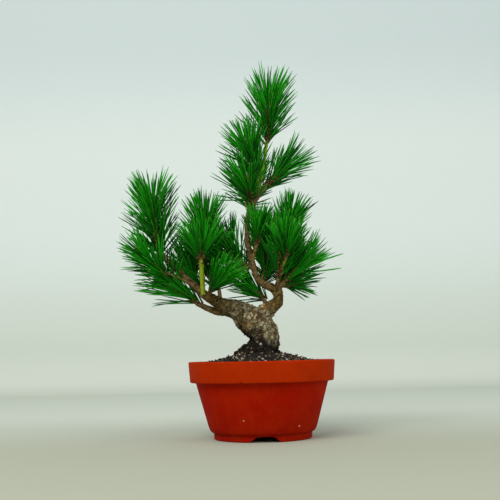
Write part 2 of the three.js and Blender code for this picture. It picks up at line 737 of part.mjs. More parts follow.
function takeStemAndSleeve(shoot, { stem, from, to }, taken) {
  const { points, radiusAt } = stemShape(shoot, 0);
  taken.addTube(points, radiusAt, stemName(shoot));
  const count = Math.ceil(stem.getLength() * (to - from));
  for (let i = 0; i <= count; i++) {
    taken.add(stem.getPointAt(THREE.MathUtils.lerp(from, to, i / count)), sleeveRadius(shoot), tuftName(shoot));
  }
}

// ---------------------------------------------------------------- assembly

const LOOKS = {
  pot: { color: 0x9c2408, roughness: 0.62 },
  drainage_net: { color: 0x1d1d1d, roughness: 0.5 },
  net_wire: { color: 0x9a9a96, roughness: 0.35, metalness: 1 },
  soil: { color: 0x1f1a14, roughness: 0.95 },
  wood: { color: 0x65553a, roughness: 0.9 },
  shoot: { color: 0x7d9328, roughness: 0.55 },
  needles: { color: 0x0e6a12, roughness: 0.45 },
};

const bonsai = new THREE.Group();
bonsai.name = "bonsai_pine";

function addPiece(name, solid, look) {
  const material = new THREE.MeshStandardMaterial({ metalness: 0, ...LOOKS[look] });
  const piece = new THREE.Mesh(geometryOf(solid), material);
  piece.name = name;
  bonsai.add(piece);
}

const woodCutter = makeWood(CLEARANCE);
addPiece("pot", makePot(), "pot");
addPiece("drainage_net", makeNet(), "drainage_net");
addPiece("net_wire", makeWire(), "net_wire");
addPiece("soil", makeSoil(woodCutter), "soil");
addPiece("trunk", makeWood(), "wood");

// Each stem gives way to the wood and to the stems before it.
let stemCutter = woodCutter;
for (const shoot of SHOOTS) {
  addPiece(stemName(shoot), makeStem(shoot).subtract(stemCutter), "shoot");
  stemCutter = stemCutter.add(makeStem(shoot, CLEARANCE));
}

// Needles grow last, into the space that the wood, the stems and the sleeves leave.
const taken = new TakenSpace();
takeWood(taken);
const zones = new Map(SHOOTS.map((shoot) => [shoot, needleZone(shoot, taken)]));
for (const [shoot, zone] of zones) takeStemAndSleeve(shoot, zone, taken);
for (const [shoot, zone] of zones) addPiece(tuftName(shoot), makeTuft(shoot, zone, taken), "needles");

const overall = new THREE.Box3().setFromObject(bonsai);
const centre = overall.getCenter(new THREE.Vector3());
bonsai.position.set(-centre.x, -centre.y, -overall.min.z);

export default bonsai;
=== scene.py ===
"""Looks of a potted black pine bonsai: clay pot, drainage, soil, barked wood, shoots and needles."""

import math

import bmesh
import bpy
import numpy as np
from bpy.props import FloatProperty, FloatVectorProperty, IntProperty, PointerProperty
from mathutils import Matrix, Vector
from mathutils.bvhtree import BVHTree


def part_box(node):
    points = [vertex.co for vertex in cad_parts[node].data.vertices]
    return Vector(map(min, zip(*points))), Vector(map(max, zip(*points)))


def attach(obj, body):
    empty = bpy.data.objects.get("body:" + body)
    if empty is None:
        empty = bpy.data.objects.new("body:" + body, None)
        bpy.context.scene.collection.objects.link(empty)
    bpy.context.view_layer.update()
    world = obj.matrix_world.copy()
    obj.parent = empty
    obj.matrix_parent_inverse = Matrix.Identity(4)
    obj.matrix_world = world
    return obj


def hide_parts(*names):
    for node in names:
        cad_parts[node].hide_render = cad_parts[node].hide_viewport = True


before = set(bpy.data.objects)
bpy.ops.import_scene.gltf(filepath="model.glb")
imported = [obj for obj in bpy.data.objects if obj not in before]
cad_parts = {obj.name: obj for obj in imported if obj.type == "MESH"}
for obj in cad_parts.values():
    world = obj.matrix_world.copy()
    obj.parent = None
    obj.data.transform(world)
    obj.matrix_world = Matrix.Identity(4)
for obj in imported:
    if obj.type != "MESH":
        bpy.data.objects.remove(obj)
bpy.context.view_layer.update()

bl_info = {
    "name": "Potted pine bonsai",
    "version": (1, 0, 0),
    "blender": (4, 5, 0),
    "location": "3D View > Sidebar > Bonsai",
    "description": "Builds a black pine bonsai in a clay training pot over its packed frame",
    "category": "Add Mesh",
}

POT_LOW, POT_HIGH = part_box("pot")
POT_AXIS = (POT_LOW + POT_HIGH) / 2
POT_HEIGHT = POT_HIGH.z
RIM_RADIUS = (POT_HIGH.x - POT_LOW.x) / 2
GOLDEN_ANGLE = math.radians(137.508)
SHOOTS = [name[len("shoot_"):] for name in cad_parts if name.startswith("shoot_")]

# Shoots whose bare foot is still a green candle, and how green it is.
CANDLES = {
    "apex": 1.0,
    "left_centre_front": 1.0,
    "right_front": 0.75,
    "crown_left": 0.55,
    "middle_front": 0.35,
}

# Length of the branch below a shoot that still carries last year's needles.
OLD_GROWTH = {
    "left_top": 0.026,
    "left_centre_back": 0.030,
    "left_low_front": 0.022,
    "left_trailing": 0.012,
    "left_back": 0.014,
    "right_upper": 0.026,
    "right_outer": 0.008,
    "right_back": 0.014,
    "middle_back": 0.024,
    "middle_left": 0.014,
    "crown_right": 0.012,
    "crown_back": 0.012,
    "heart": 0.006,
}

# Tufts with fewer needles than the rest, and the share of them that they have.
SPARSE = {
    "left_trailing": 0.55,
    "left_low_front": 0.8,
    "right_low": 0.6,
    "right_outer": 0.65,
    "crown_right": 0.6,
    "heart": 0.85,
}


# ---------------------------------------------------------------- what a user may change


def length(name, description, default):
    """A size in metres that a user may change."""
    return FloatProperty(
        name=name, description=description, default=default, unit="LENGTH", subtype="DISTANCE"
    )


def colour(name, description, default):
    """A colour that a user may change."""
    return FloatVectorProperty(
        name=name, description=description, default=(*default, 1.0), size=4, subtype="COLOR", min=0.0, max=1.0
    )


class PotSizes(bpy.types.PropertyGroup):
    """Sizes and colours of the clay pot."""

    rim_band: length("Rim band", "Height of the thick band under the rim", 0.021)
    rim_draft: length("Rim draft", "How much the band's radius shrinks to its lower edge", 0.0017)
    rim_width: length("Rim width", "Flat top edge of the rim", 0.0065)
    rim_step: length("Rim step", "Overhang of the band over the body", 0.0056)
    wall: length("Wall", "Thickness of the body's wall", 0.0046)
    body_foot_radius: length("Body foot radius", "Outside of the body above its rounding", 0.055)
    body_rounding: length("Body rounding", "Height of the rounding above the foot", 0.005)
    foot_radius: length("Foot radius", "Outside of the ring that the pot stands on", 0.0495)
    foot_height: length("Foot height", "Height of that ring", 0.007)
    foot_draft: length("Foot draft", "How much the ring's radius grows to its top", 0.0011)
    foot_width: length("Foot width", "Thickness of the ring", 0.006)
    floor: length("Floor", "Thickness of the floor", 0.006)
    floor_lift: length("Floor lift", "Height of the floor's underside above the ground", 0.006)
    drain_radius: length("Drain radius", "Radius of the hole in the floor", 0.011)
    notch_width: length("Notch width", "Width of each foot gap at the ground", 0.032)
    notch_top_width: length("Notch top width", "Width of each foot gap under its arch", 0.019)
    notch_height: length("Notch height", "Height of each foot gap", 0.0056)
    # The rim and foot colours are partly the clay's own tone and partly painted light and shade: the rim band
    # is painted lighter and more orange, the body's lower end and foot are painted darker.
    rim_clay_and_light: colour("Rim colour", "Clay of the rim band", (0.345, 0.0190, 0.0001))
    body_colour: colour("Body colour", "Clay of the body", (0.325, 0.0038, 0.0001))
    foot_clay_and_shade: colour("Foot colour", "Clay of the body's lower end and foot", (0.250, 0.0030, 0.0004))
    streak_colour: colour("Streak colour", "Faint vertical streaks on the body", (0.46, 0.020, 0.0002))


class SoilSizes(bpy.types.PropertyGroup):
    """Sizes and colours of the soil."""

    voxel: length("Voxel", "Fineness of the soil's surface", 0.0013)
    lump: length("Lumps", "Height of the lumps in the soil", 0.0022)
    grain: length("Grain", "Middling radius of the loose grains", 0.00150)
    density: FloatProperty(
        name="Density", description="Loose grains on a square metre", default=115000.0, min=0.0
    )
    seed: IntProperty(name="Seed", description="Chooses another scatter of grains", default=7)
    peat_colour: colour("Peat colour", "Dark soil between the grains", (0.010, 0.007, 0.005))
    bark_colour: colour("Bark grain colour", "Black bark grains", (0.012, 0.009, 0.008))
    tan_colour: colour("Tan grain colour", "Fired clay grains", (0.22, 0.15, 0.075))
    grit_colour: colour("Grit colour", "White pumice grit", (0.46, 0.44, 0.37))


class BarkSizes(bpy.types.PropertyGroup):
    """Sizes and colours of the trunk and branches."""

    voxel: length("Voxel", "Fineness of the bark's surface", 0.00075)
    plate: length("Plate", "Width of the bark plates on the trunk", 0.0062)
    plate_depth: length("Crack depth", "Depth of the cracks between plates", 0.0013)
    flake: length("Flake", "Width of the small flakes on the plates and limbs", 0.0021)
    flake_depth: length("Flake depth", "Relief of the small flakes", 0.00070)
    lump_depth: length("Lump depth", "Relief of the trunk's swellings", 0.0016)
    loose: FloatProperty(
        name="Loose flakes", description="Loose flakes on a square metre of bark", default=90000.0
    )
    plate_light: colour("Light plate", "Weathered face of the plates", (0.47, 0.41, 0.24))
    plate_dark: colour("Dark plate", "Older face of the plates", (0.085, 0.060, 0.027))
    rust: colour("Rust", "Freshly shed spots", (0.40, 0.20, 0.035))
    # Painted shade inside the cracks and in the grooves between the small scales, not a colour of the bark.
    shaded_crack: colour("Crack", "Inside of the cracks", (0.014, 0.009, 0.005))
    limb: colour("Limb", "Younger bark of the limbs", (0.100, 0.062, 0.012))
    limb_light: colour("Light limb", "Worn faces on the limbs", (0.25, 0.185, 0.045))
    twig: colour("Twig", "Young wood of the leader and the thin branches", (0.26, 0.17, 0.08))
    # The foot colour is partly dark bark at the soil and partly painted shade.
    foot: colour("Foot", "Damp bark at the soil", (0.007, 0.006, 0.005))


class ShootSizes(bpy.types.PropertyGroup):
    """Sizes and colours of the shoots and their buds."""

    bud_length: length("Bud length", "Length of the bud on each shoot", 0.009)
    bud_scale: length("Bud scale", "Length of one scale on a bud", 0.0026)
    leaf_scale: length("Leaf scale", "Length of one dry scale along a shoot", 0.0030)
    scales: FloatProperty(
        name="Scales", description="Dry scales on each metre of shoot", default=1500.0, min=0.0
    )
    bud_scales: IntProperty(name="Bud scales", description="Scales on each bud", default=44, min=1)
    seed: IntProperty(name="Seed", description="Chooses another arrangement of scales", default=3)
    brown: colour("Shoot brown", "Older shoot", (0.16, 0.075, 0.025))
    candle: colour("Candle green", "Young shoot", (0.27, 0.36, 0.004))
    scale_dark: colour("Dark scale", "Inside of the scales", (0.045, 0.016, 0.007))
    scale_light: colour("Light scale", "Papery edge of the scales", (0.42, 0.29, 0.13))


class NeedleSizes(bpy.types.PropertyGroup):
    """Sizes and colours of the needles."""

    width: length("Width", "Width of one needle", 0.00132)
    pairs: FloatProperty(
        name="Pairs", description="Pairs of needles on each metre of shoot", default=2300.0, min=0.0
    )
    crowding: FloatProperty(
        name="Crowding", description="Less than 1 puts more of them near the tip", default=0.72
    )
    parting: length("Parting", "Half the gap between the tips of a pair", 0.0024)
    wander: FloatProperty(
        name="Wander", description="Bend of the needles, as a share of length", default=0.04
    )
    sheath: FloatProperty(name="Sheath", description="Sheath, as a share of the needle", default=0.095)
    seed: IntProperty(name="Seed", description="Chooses another arrangement of needles", default=11)
    deep: colour("Deep green", "Shaded and older needles", (0.0008, 0.056, 0.0008))
    bright: colour("Bright green", "Sunlit needles", (0.012, 0.37, 0.004))
    tip: colour("Tip", "Yellowing of the needle tips", (0.10, 0.36, 0.02))
    sheath_colour: colour("Sheath colour", "Papery sheath at the needle's foot", (0.20, 0.11, 0.045))


class StageSizes(bpy.types.PropertyGroup):
    """Colours and lights of the stage."""

    # The backdrop is one paper with painted light and shade: darker at its foot and top, lightest in the
    # middle; the table is painted lighter towards the back.
    shaded_wall_foot: colour("Wall foot", "Lower end of the backdrop", (0.654, 0.702, 0.631))
    wall: colour("Wall", "Backdrop behind the tree", (0.776, 0.841, 0.826))
    shaded_wall_top: colour("Wall top", "Upper end of the backdrop", (0.655, 0.739, 0.748))
    floor: colour("Floor", "Table under the pot", (0.410, 0.427, 0.340))
    key: FloatProperty(
        name="Key light", description="Power of the large soft light", default=26.0, unit="POWER"
    )
    fill: FloatProperty(
        name="Fill light", description="Power of the soft light on the right", default=8.0, unit="POWER"
    )
    sky: FloatProperty(name="Room light", description="Strength of the even light of the room", default=0.62)


SETTINGS = {
    "bonsai_pot": PotSizes,
    "bonsai_soil": SoilSizes,
    "bonsai_bark": BarkSizes,
    "bonsai_shoots": ShootSizes,
    "bonsai_needles": NeedleSizes,
    "bonsai_stage": StageSizes,
}


# ---------------------------------------------------------------- node trees


def feed(tree, socket, value):
    """Links a flow to a socket, or sets the socket to a plain value."""
    if isinstance(value, Flow):
        tree.links.new(value.socket, socket)
    else:
        socket.default_value = value


def named(sockets, name):
    """The socket in use that has this identifier or name."""
    for socket in sockets:
        if socket.enabled and name in (socket.identifier, socket.name):
            return socket
    raise KeyError(name)


class Flow:
    """A value in a node tree. Arithmetic on it adds Math nodes to the tree."""

    def __init__(self, tree, socket):
        self.tree, self.socket = tree, socket

    def _math(self, operation, *terms):
        node = self.tree.nodes.new("ShaderNodeMath")
        node.operation = operation
        for socket, term in zip(node.inputs, terms):
            feed(self.tree, socket, term)
        return Flow(self.tree, node.outputs[0])

    def __add__(self, other):
        return self._math("ADD", self, other)

    def __sub__(self, other):
        return self._math("SUBTRACT", self, other)

    def __rsub__(self, other):
        return self._math("SUBTRACT", other, self)

    def __mul__(self, other):
        return self._math("MULTIPLY", self, other)

    def __truediv__(self, other):
        return self._math("DIVIDE", self, other)

    def __rtruediv__(self, other):
        return self._math("DIVIDE", other, self)

    def __pow__(self, other):
        return self._math("POWER", self, other)

    __radd__ = __add__
    __rmul__ = __mul__

    def at_least(self, other):
        return self._math("MAXIMUM", self, other)

    def above(self, other):
        return self._math("GREATER_THAN", self, other)

    def rise(self, low, high):
        """0 below low, 1 above high, and a smooth step between them."""
        settings = {"Value": self, "From Min": low, "From Max": high}
        return grow(self.tree, "ShaderNodeMapRange", settings, interpolation_type="SMOOTHSTEP")


def grow(tree, kind, inputs=None, out=0, **settings):
    """Adds a node to a tree and gives one of its outputs as a flow."""
    node = tree.nodes.new(kind)
    for name, value in settings.items():
        setattr(node, name, value)
    for name, value in (inputs or {}).items():
        feed(tree, named(node.inputs, name), value)
    socket = node.outputs[out] if isinstance(out, int) else named(node.outputs, out)
    return Flow(tree, socket)


def over(flow, name):
    """Another output of the node that a flow comes from."""
    return Flow(flow.tree, named(flow.socket.node.outputs, name))


def vectors(tree, operation, *terms):
    """A Vector Math node of the terms. SCALE takes a vector and a number."""
    node = tree.nodes.new("ShaderNodeVectorMath")
    node.operation = operation
    sockets = [socket for socket in node.inputs if socket.enabled]
    for socket, term in zip(sockets, terms):
        feed(tree, socket, term)
    return Flow(tree, node.outputs[0])


def noise(tree, place, scale, detail=3.0, rough=0.5):
    """Cloudy noise from 0 to 1 at a place."""
    inputs = {"Vector": place, "Scale": scale, "Detail": detail, "Roughness": rough}
    return grow(tree, "ShaderNodeTexNoise", inputs, "Fac")


def cells(tree, place, scale, feature="F1", out="Distance"):
    """Irregular cells round scattered points."""
    return grow(tree, "ShaderNodeTexVoronoi", {"Vector": place, "Scale": scale}, out, feature=feature)


class Finish:
    """A material while it is being mixed."""

    def __init__(self, name):
        self.material = bpy.data.materials.new(name)
        self.material.use_nodes = True
        self.tree = self.material.node_tree
        self.shader = self.tree.nodes["Principled BSDF"]
        self.place = grow(self.tree, "ShaderNodeTexCoord", out="Object")
        self.across = grow(self.tree, "ShaderNodeSeparateXYZ", {"Vector": self.place})
        self.behind = over(self.across, "Y")
        self.height = over(self.across, "Z")

    def stretched(self, *scale):
        return vectors(self.tree, "MULTIPLY", self.place, scale)

    def noise(self, scale, detail=3.0, rough=0.5, place=None):
        return noise(self.tree, place or self.place, scale, detail, rough)

    def cells(self, scale, out="Distance", place=None):
        return cells(self.tree, place or self.place, scale, out=out)

    def attribute(self, name):
        return grow(self.tree, "ShaderNodeAttribute", out="Fac", attribute_name=name)

    def mix(self, factor, first, second):
        """The first colour where the factor is 0, the second where it is 1."""
        inputs = {"Factor_Float": factor, "A_Color": first, "B_Color": second}
        return grow(self.tree, "ShaderNodeMix", inputs, "Result_Color", data_type="RGBA")

    def done(self, base, roughness, relief=None, depth=0.0003, **fixed):
        """Joins the colour, roughness and relief to the shader. The fixed values are the same all over."""
        feed(self.tree, self.shader.inputs["Base Color"], base)
        feed(self.tree, self.shader.inputs["Roughness"], roughness)
        for name, value in fixed.items():
            self.shader.inputs[name.replace("_", " ").title().replace("Ior", "IOR")].default_value = value
        if relief is not None:
            bump = grow(self.tree, "ShaderNodeBump", {"Height": relief, "Distance": depth, "Strength": 1.0})
            feed(self.tree, self.shader.inputs["Normal"], bump)
        return self.material


class Recipe:
    """A geometry tree with named inputs, run once on a start mesh."""

    def __init__(self, name, **inputs):
        self.tree = bpy.data.node_groups.new(name, "GeometryNodeTree")
        self.inputs = {}
        sockets = {"float": "NodeSocketFloat", "int": "NodeSocketInt", "material": "NodeSocketMaterial"}
        self.tree.interface.new_socket("Geometry", in_out="INPUT", socket_type="NodeSocketGeometry")
        self.tree.interface.new_socket("Geometry", in_out="OUTPUT", socket_type="NodeSocketGeometry")
        for label, kind in inputs.items():
            socket = self.tree.interface.new_socket(label, in_out="INPUT", socket_type=sockets[kind])
            self.inputs[label] = socket
        self.group_in = self.tree.nodes.new("NodeGroupInput")
        self.start = self["Geometry"]

    def __getitem__(self, label):
        return Flow(self.tree, self.group_in.outputs[label])

    def grow(self, kind, inputs=None, out=0, **settings):
        return grow(self.tree, kind, inputs, out, **settings)

    def random(self, low, high, seed, data_type="FLOAT"):
        inputs = {"Min": low, "Max": high, "Seed": seed}
        return self.grow("FunctionNodeRandomValue", inputs, "Value", data_type=data_type)

    def turned(self, rotation, axis, angle):
        """A rotation turned about one of its own axes."""
        turn = self.grow("FunctionNodeAxisAngleToRotation", {"Axis": axis, "Angle": angle})
        inputs = {"Rotation": rotation, "Rotate By": turn}
        return self.grow("FunctionNodeRotateRotation", inputs, rotation_space="LOCAL")

    def stored(self, geometry, name, value, domain="POINT", data_type="FLOAT"):
        inputs = {"Geometry": geometry, "Name": name, "Value": value}
        return self.grow("GeometryNodeStoreNamedAttribute", inputs, data_type=data_type, domain=domain)

    def attribute(self, name, data_type="FLOAT"):
        return self.grow("GeometryNodeInputNamedAttribute", {"Name": name}, "Attribute", data_type=data_type)

    def moved(self, geometry, **inputs):
        """A geometry with new positions, or with its positions offset."""
        return self.grow("GeometryNodeSetPosition", {"Geometry": geometry, **inputs})

    def joined(self, *geometries):
        node = self.tree.nodes.new("GeometryNodeJoinGeometry")
        for geometry in geometries:
            self.tree.links.new(geometry.socket, node.inputs[0])
        return Flow(self.tree, node.outputs[0])

    def parts(self, vector):
        """The three parts of a vector."""
        split = self.grow("ShaderNodeSeparateXYZ", {"Vector": vector})
        return split, over(split, "Y"), over(split, "Z")

    def vector(self, x=0.0, y=0.0, z=0.0):
        return self.grow("ShaderNodeCombineXYZ", {"X": x, "Y": y, "Z": z})

    def even(self, value):
        """A vector with the same value three times."""
        return self.vector(value, value, value)

    def end(self, geometry, smooth=True):
        """Realizes every instance, sets the material and closes the tree."""
        real = self.grow("GeometryNodeRealizeInstances", {"Geometry": geometry})
        shaded = self.grow("GeometryNodeSetShadeSmooth", {"Geometry": real, "Shade Smooth": smooth})
        done = self.grow("GeometryNodeSetMaterial", {"Geometry": shaded, "Material": self["Material"]})
        out = self.tree.nodes.new("NodeGroupOutput")
        self.tree.links.new(done.socket, out.inputs[0])

    def run(self, name, mesh, material, **values):
        """The plain mesh that the tree makes of a start mesh."""
        start = bpy.data.objects.new(name + "_start", mesh)
        bpy.context.scene.collection.objects.link(start)
        modifier = start.modifiers.new("Recipe", "NODES")
        modifier.node_group = self.tree
        for label, value in {**values, "Material": material}.items():
            modifier[self.inputs[label].identifier] = value
        depsgraph = bpy.context.evaluated_depsgraph_get()
        made = bpy.data.meshes.new_from_object(
            start.evaluated_get(depsgraph), preserve_all_data_layers=True, depsgraph=depsgraph
        )
        start.modifiers.clear()
        bpy.data.objects.remove(start)
        made.name = name
        return made


# ---------------------------------------------------------------- pieces


def shown(name, mesh, material, slot, *nodes):
    """Shows a finished mesh in place of CAD nodes."""
    piece = bpy.data.objects.new(name, mesh)
    bpy.context.scene.collection.objects.link(piece)
    mesh.materials.clear()
    mesh.materials.append(material)
    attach(piece, "root")
    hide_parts(*nodes)
    return piece


def merged_copy(node, name):
    """A copy of a CAD node's mesh with its doubled corners joined."""
    work = bmesh.new()
    work.from_mesh(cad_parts[node].data)
    bmesh.ops.remove_doubles(work, verts=work.verts, dist=1e-6)
    mesh = bpy.data.meshes.new(name)
    work.to_mesh(mesh)
    work.free()
    return mesh


def remeshed(mesh, voxel, rounds):
    """A mesh rebuilt in even small faces, its facets smoothed away."""
    block = bpy.data.objects.new("block", mesh)
    bpy.context.scene.collection.objects.link(block)
    remesh = block.modifiers.new("Remesh", "REMESH")
    remesh.mode = "VOXEL"
    remesh.voxel_size = voxel
    smooth = block.modifiers.new("Smooth", "SMOOTH")
    smooth.factor = 0.5
    smooth.iterations = rounds
    depsgraph = bpy.context.evaluated_depsgraph_get()
    made = bpy.data.meshes.new_from_object(block.evaluated_get(depsgraph), depsgraph=depsgraph)
    block.modifiers.clear()
    bpy.data.objects.remove(block)
    return made


def joined_mesh(name, *meshes):
    """One new mesh with the faces of several."""
    mesh = bpy.data.meshes.new(name)
    faces = bmesh.new()
    for part in meshes:
        faces.from_mesh(part)
    faces.to_mesh(mesh)
    faces.free()
    return mesh


def corners_of(mesh):
    """The corners of a mesh as an array."""
    corners = np.empty(len(mesh.vertices) * 3)
    mesh.vertices.foreach_get("co", corners)
    return corners.reshape(-1, 3)


def line_mesh(name, points, **values):
    """A line of edges through points, with a number stored at each of them."""
    mesh = bpy.data.meshes.new(name)
    edges = [(i, i + 1) for i in range(len(points) - 1)]
    mesh.from_pydata([tuple(point) for point in points], edges, [])
    for label, numbers in values.items():
        stored = mesh.attributes.new(label, "FLOAT", "POINT")
        stored.data.foreach_set("value", np.asarray(numbers, dtype=float))
    return mesh


# ---------------------------------------------------------------- pot


def eased(corners, steps=5):
    """A closed outline with its corners rounded. Each corner is (radius, height, rounding)."""
    outline = []
    for i, (radius, height, rounding) in enumerate(corners):
        here = Vector((radius, height))
        back = Vector(corners[i - 1][:2]) - here
        ahead = Vector(corners[(i + 1) % len(corners)][:2]) - here
        if rounding == 0:
            outline.append(here)
            continue
        start = here + back.normalized() * min(rounding, back.length * 0.45)
        end = here + ahead.normalized() * min(rounding, ahead.length * 0.45)
        for step in range(steps + 1):
            t = step / steps
            outline.append(start * (1 - t) ** 2 + here * 2 * t * (1 - t) + end * t**2)
    return outline


def pot_outline(sizes, groove=0.0007):
    """The turned outline of the pot, with a groove between the foot ring and the body."""
    rim_bottom = POT_HEIGHT - sizes.rim_band
    floor_under = sizes.floor_lift
    floor_top = floor_under + sizes.floor
    body_top = RIM_RADIUS - sizes.rim_draft - sizes.rim_step
    inner_top = RIM_RADIUS - sizes.rim_width
    body_start = sizes.foot_height + sizes.body_rounding
    slope = (body_top - sizes.body_foot_radius) / (rim_bottom - body_start)
    inside_floor = sizes.body_foot_radius - sizes.wall + slope * (floor_top - body_start)
    return eased(
        [
            (sizes.drain_radius, floor_under, 0.0008),
            (sizes.foot_radius - sizes.foot_width, floor_under, 0.001),
            (sizes.foot_radius - sizes.foot_width, 0.0, 0.0012),
            (sizes.foot_radius, 0.0, 0.0014),
            (sizes.foot_radius + sizes.foot_draft - groove, sizes.foot_height - groove, 0.0008),
            (sizes.body_foot_radius - sizes.body_rounding * 0.4, sizes.foot_height + groove, 0.0022),
            (sizes.body_foot_radius, body_start, 0.003),
            (body_top, rim_bottom, 0.0013),
            (RIM_RADIUS - sizes.rim_draft, rim_bottom, 0.0016),
            (RIM_RADIUS, POT_HEIGHT, 0.0017),
            (inner_top, POT_HEIGHT, 0.0016),
            (body_top - sizes.wall, rim_bottom, 0.004),
            (inside_floor, floor_top, 0.004),
            (sizes.drain_radius, floor_top, 0.0008),
        ]
    )


def notch_rise(across, sizes):
    """Height of the arched foot gaps at a distance across from their middle."""
    low, high = sizes.notch_width / 2, sizes.notch_top_width / 2
    if across >= low:
        return 0.0
    shoulder = 0.85 * sizes.notch_height
    if across > high:
        return shoulder * ((low - across) / (low - high)) ** 1.5
    return shoulder + 0.15 * sizes.notch_height * (1 - (across / high) ** 2)


def pot_mesh(sizes, columns=360, notches=3, first_notch=math.radians(-88)):
    """The outline turned round the pot's axis, with the foot gaps pressed into its ring."""
    outline = pot_outline(sizes)
    inner_foot = sizes.foot_radius - sizes.foot_width + 0.0004
    corners = []
    for column in range(columns):
        angle = 2 * math.pi * column / columns
        off = (angle - first_notch + math.pi / notches) % (2 * math.pi / notches) - math.pi / notches
        for radius, height in outline:
            top = sizes.foot_height if radius > inner_foot else sizes.floor_lift
            in_foot = sizes.foot_radius - sizes.foot_width - 1e-4 < radius and height < top
            if in_foot:
                rise = notch_rise(abs(radius * math.sin(off)), sizes)
                height = rise + height * (1 - rise / top)
            place = (radius * math.cos(angle), radius * math.sin(angle), height)
            corners.append(Vector(place) + Vector((POT_AXIS.x, POT_AXIS.y, 0)))
    rows = len(outline)
    faces = []
    for column in range(columns):
        onward = (column + 1) % columns
        for row in range(rows):
            up = (row + 1) % rows
            faces.append((column * rows + row, onward * rows + row, onward * rows + up, column * rows + up))
    mesh = bpy.data.meshes.new("pot_clay")
    mesh.from_pydata(corners, [], faces)
    mesh.shade_smooth()
    return mesh


CLAY_CLOUD = (0.44, 0.030, 0.001, 1)
CLAY_DULL = (0.17, 0.010, 0.001, 1)
CLAY_GRAIN = (0.48, 0.032, 0.002, 1)
CLAY_RUB = (0.62, 0.30, 0.20, 1)
CLAY_SPECK = (0.75, 0.50, 0.36, 1)
PIT_SHADE = (0.06, 0.004, 0.001, 1)


def clay(sizes):
    """Unglazed orange-red clay: fine grain, faint vertical streaks, specks, rubs and small pits. The rim band
    is painted lighter and more orange and the body darker towards its foot, partly the clay's own tone and
    partly painted light and shade; the pits are painted dark with painted shade.
    """
    mixing = Finish("clay")
    height = mixing.height
    # Painted light and shade by height, over the clay's own tone: the lower body and foot painted darker, the
    # rim band painted lighter and more orange.
    body = mixing.mix(height.rise(0.012, 0.046), sizes.foot_clay_and_shade, sizes.body_colour)
    base = mixing.mix(height.rise(POT_HEIGHT - 0.0225, POT_HEIGHT - 0.0195), body, sizes.rim_clay_and_light)
    cloud = mixing.noise(38.0, 4.0, 0.6)
    base = mixing.mix(cloud.rise(0.35, 0.75) * 0.3, base, CLAY_CLOUD)
    dull = mixing.noise(90.0, 3.0, 0.55)
    base = mixing.mix(dull.rise(0.5, 0.78) * 0.35, base, CLAY_DULL)
    streaks = mixing.noise(1.0, 3.0, 0.6, mixing.stretched(420.0, 420.0, 26.0))
    base = mixing.mix(streaks.rise(0.52, 0.80) * 0.4, base, sizes.streak_colour)
    grain = mixing.noise(1500.0, 3.0, 0.7)
    base = mixing.mix(grain.rise(0.3, 0.75) * 0.22, base, CLAY_GRAIN)
    rubs = mixing.noise(1.0, 2.0, 0.5, mixing.stretched(230.0, 230.0, 60.0)).rise(0.72, 0.80)
    rubs = rubs * mixing.noise(700.0, 2.0, 0.6).rise(0.45, 0.6)
    base = mixing.mix(rubs * 0.35, base, CLAY_RUB)
    speck = mixing.cells(75.0)
    lucky = over(grow(mixing.tree, "ShaderNodeSeparateXYZ", {"Vector": mixing.cells(75.0, out="Color")}), "X")
    specks = (1 - speck.rise(0.045, 0.075)) * lucky.above(0.80)
    base = mixing.mix(specks * 0.75, base, CLAY_SPECK)
    # Painted shade: the small pits, dented by the relief, are also painted dark.
    pits = mixing.cells(52.0, place=mixing.stretched(1.0, 1.03, 0.97))
    pits = (1 - pits.rise(0.05, 0.10)) * lucky.above(0.80)
    base = mixing.mix(pits * 0.5, base, PIT_SHADE)
    relief = grain * 0.5 + streaks * 0.35 + dull * 0.5 - pits * 1.6
    rough = 0.62 + 0.18 * grain - 0.08 * cloud
    return mixing.done(base, rough, relief, 0.00022, specular_ior_level=0.02)


class BONSAI_OT_throw_pot(bpy.types.Operator):
    """Turns the clay pot with its thick rim band, foot ring and three arched foot gaps"""

    bl_idname = "bonsai.throw_pot"
    bl_label = "Pot"

    def execute(self, context):
        sizes = context.scene.bonsai_pot
        shown("pot_clay", pot_mesh(sizes), clay(sizes), "pot", "pot")
        return {"FINISHED"}


# ---------------------------------------------------------------- drainage


def net_plastic():
    """Black moulded mesh with a dull dusty face."""
    mixing = Finish("net_plastic")
    dust = mixing.noise(260.0, 4.0, 0.65)
    grain = mixing.noise(2600.0, 2.0)
    base = mixing.mix(dust.rise(0.4, 0.75) * 0.6, (0.012, 0.012, 0.013, 1), (0.060, 0.050, 0.040, 1))
    return mixing.done(base, 0.42 + 0.25 * dust, grain + dust * 0.5, 0.00008, specular_ior_level=0.4)


def dull_aluminium():
    """Annealed aluminium wire with fine drawing lines and darker oxide."""
    mixing = Finish("dull_aluminium")
    oxide = mixing.noise(420.0, 4.0, 0.6)
    lines = mixing.noise(1.0, 2.0, 0.5, mixing.stretched(500.0, 6000.0, 6000.0))
    base = mixing.mix(oxide.rise(0.35, 0.7), (0.56, 0.55, 0.52, 1), (0.25, 0.23, 0.20, 1))
    return mixing.done(base, 0.30 + 0.30 * oxide, lines, 0.00004, metallic=1.0)


class BONSAI_OT_fit_drainage(bpy.types.Operator):
    """Finishes the drainage mesh over the hole and the wire that holds it"""

    bl_idname = "bonsai.fit_drainage"
    bl_label = "Drainage mesh and wire"

    def execute(self, context):
        for node, material in (("drainage_net", net_plastic()), ("net_wire", dull_aluminium())):
            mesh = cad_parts[node].data
            mesh.materials.clear()
            mesh.materials.append(material)
        return {"FINISHED"}


# ---------------------------------------------------------------- soil


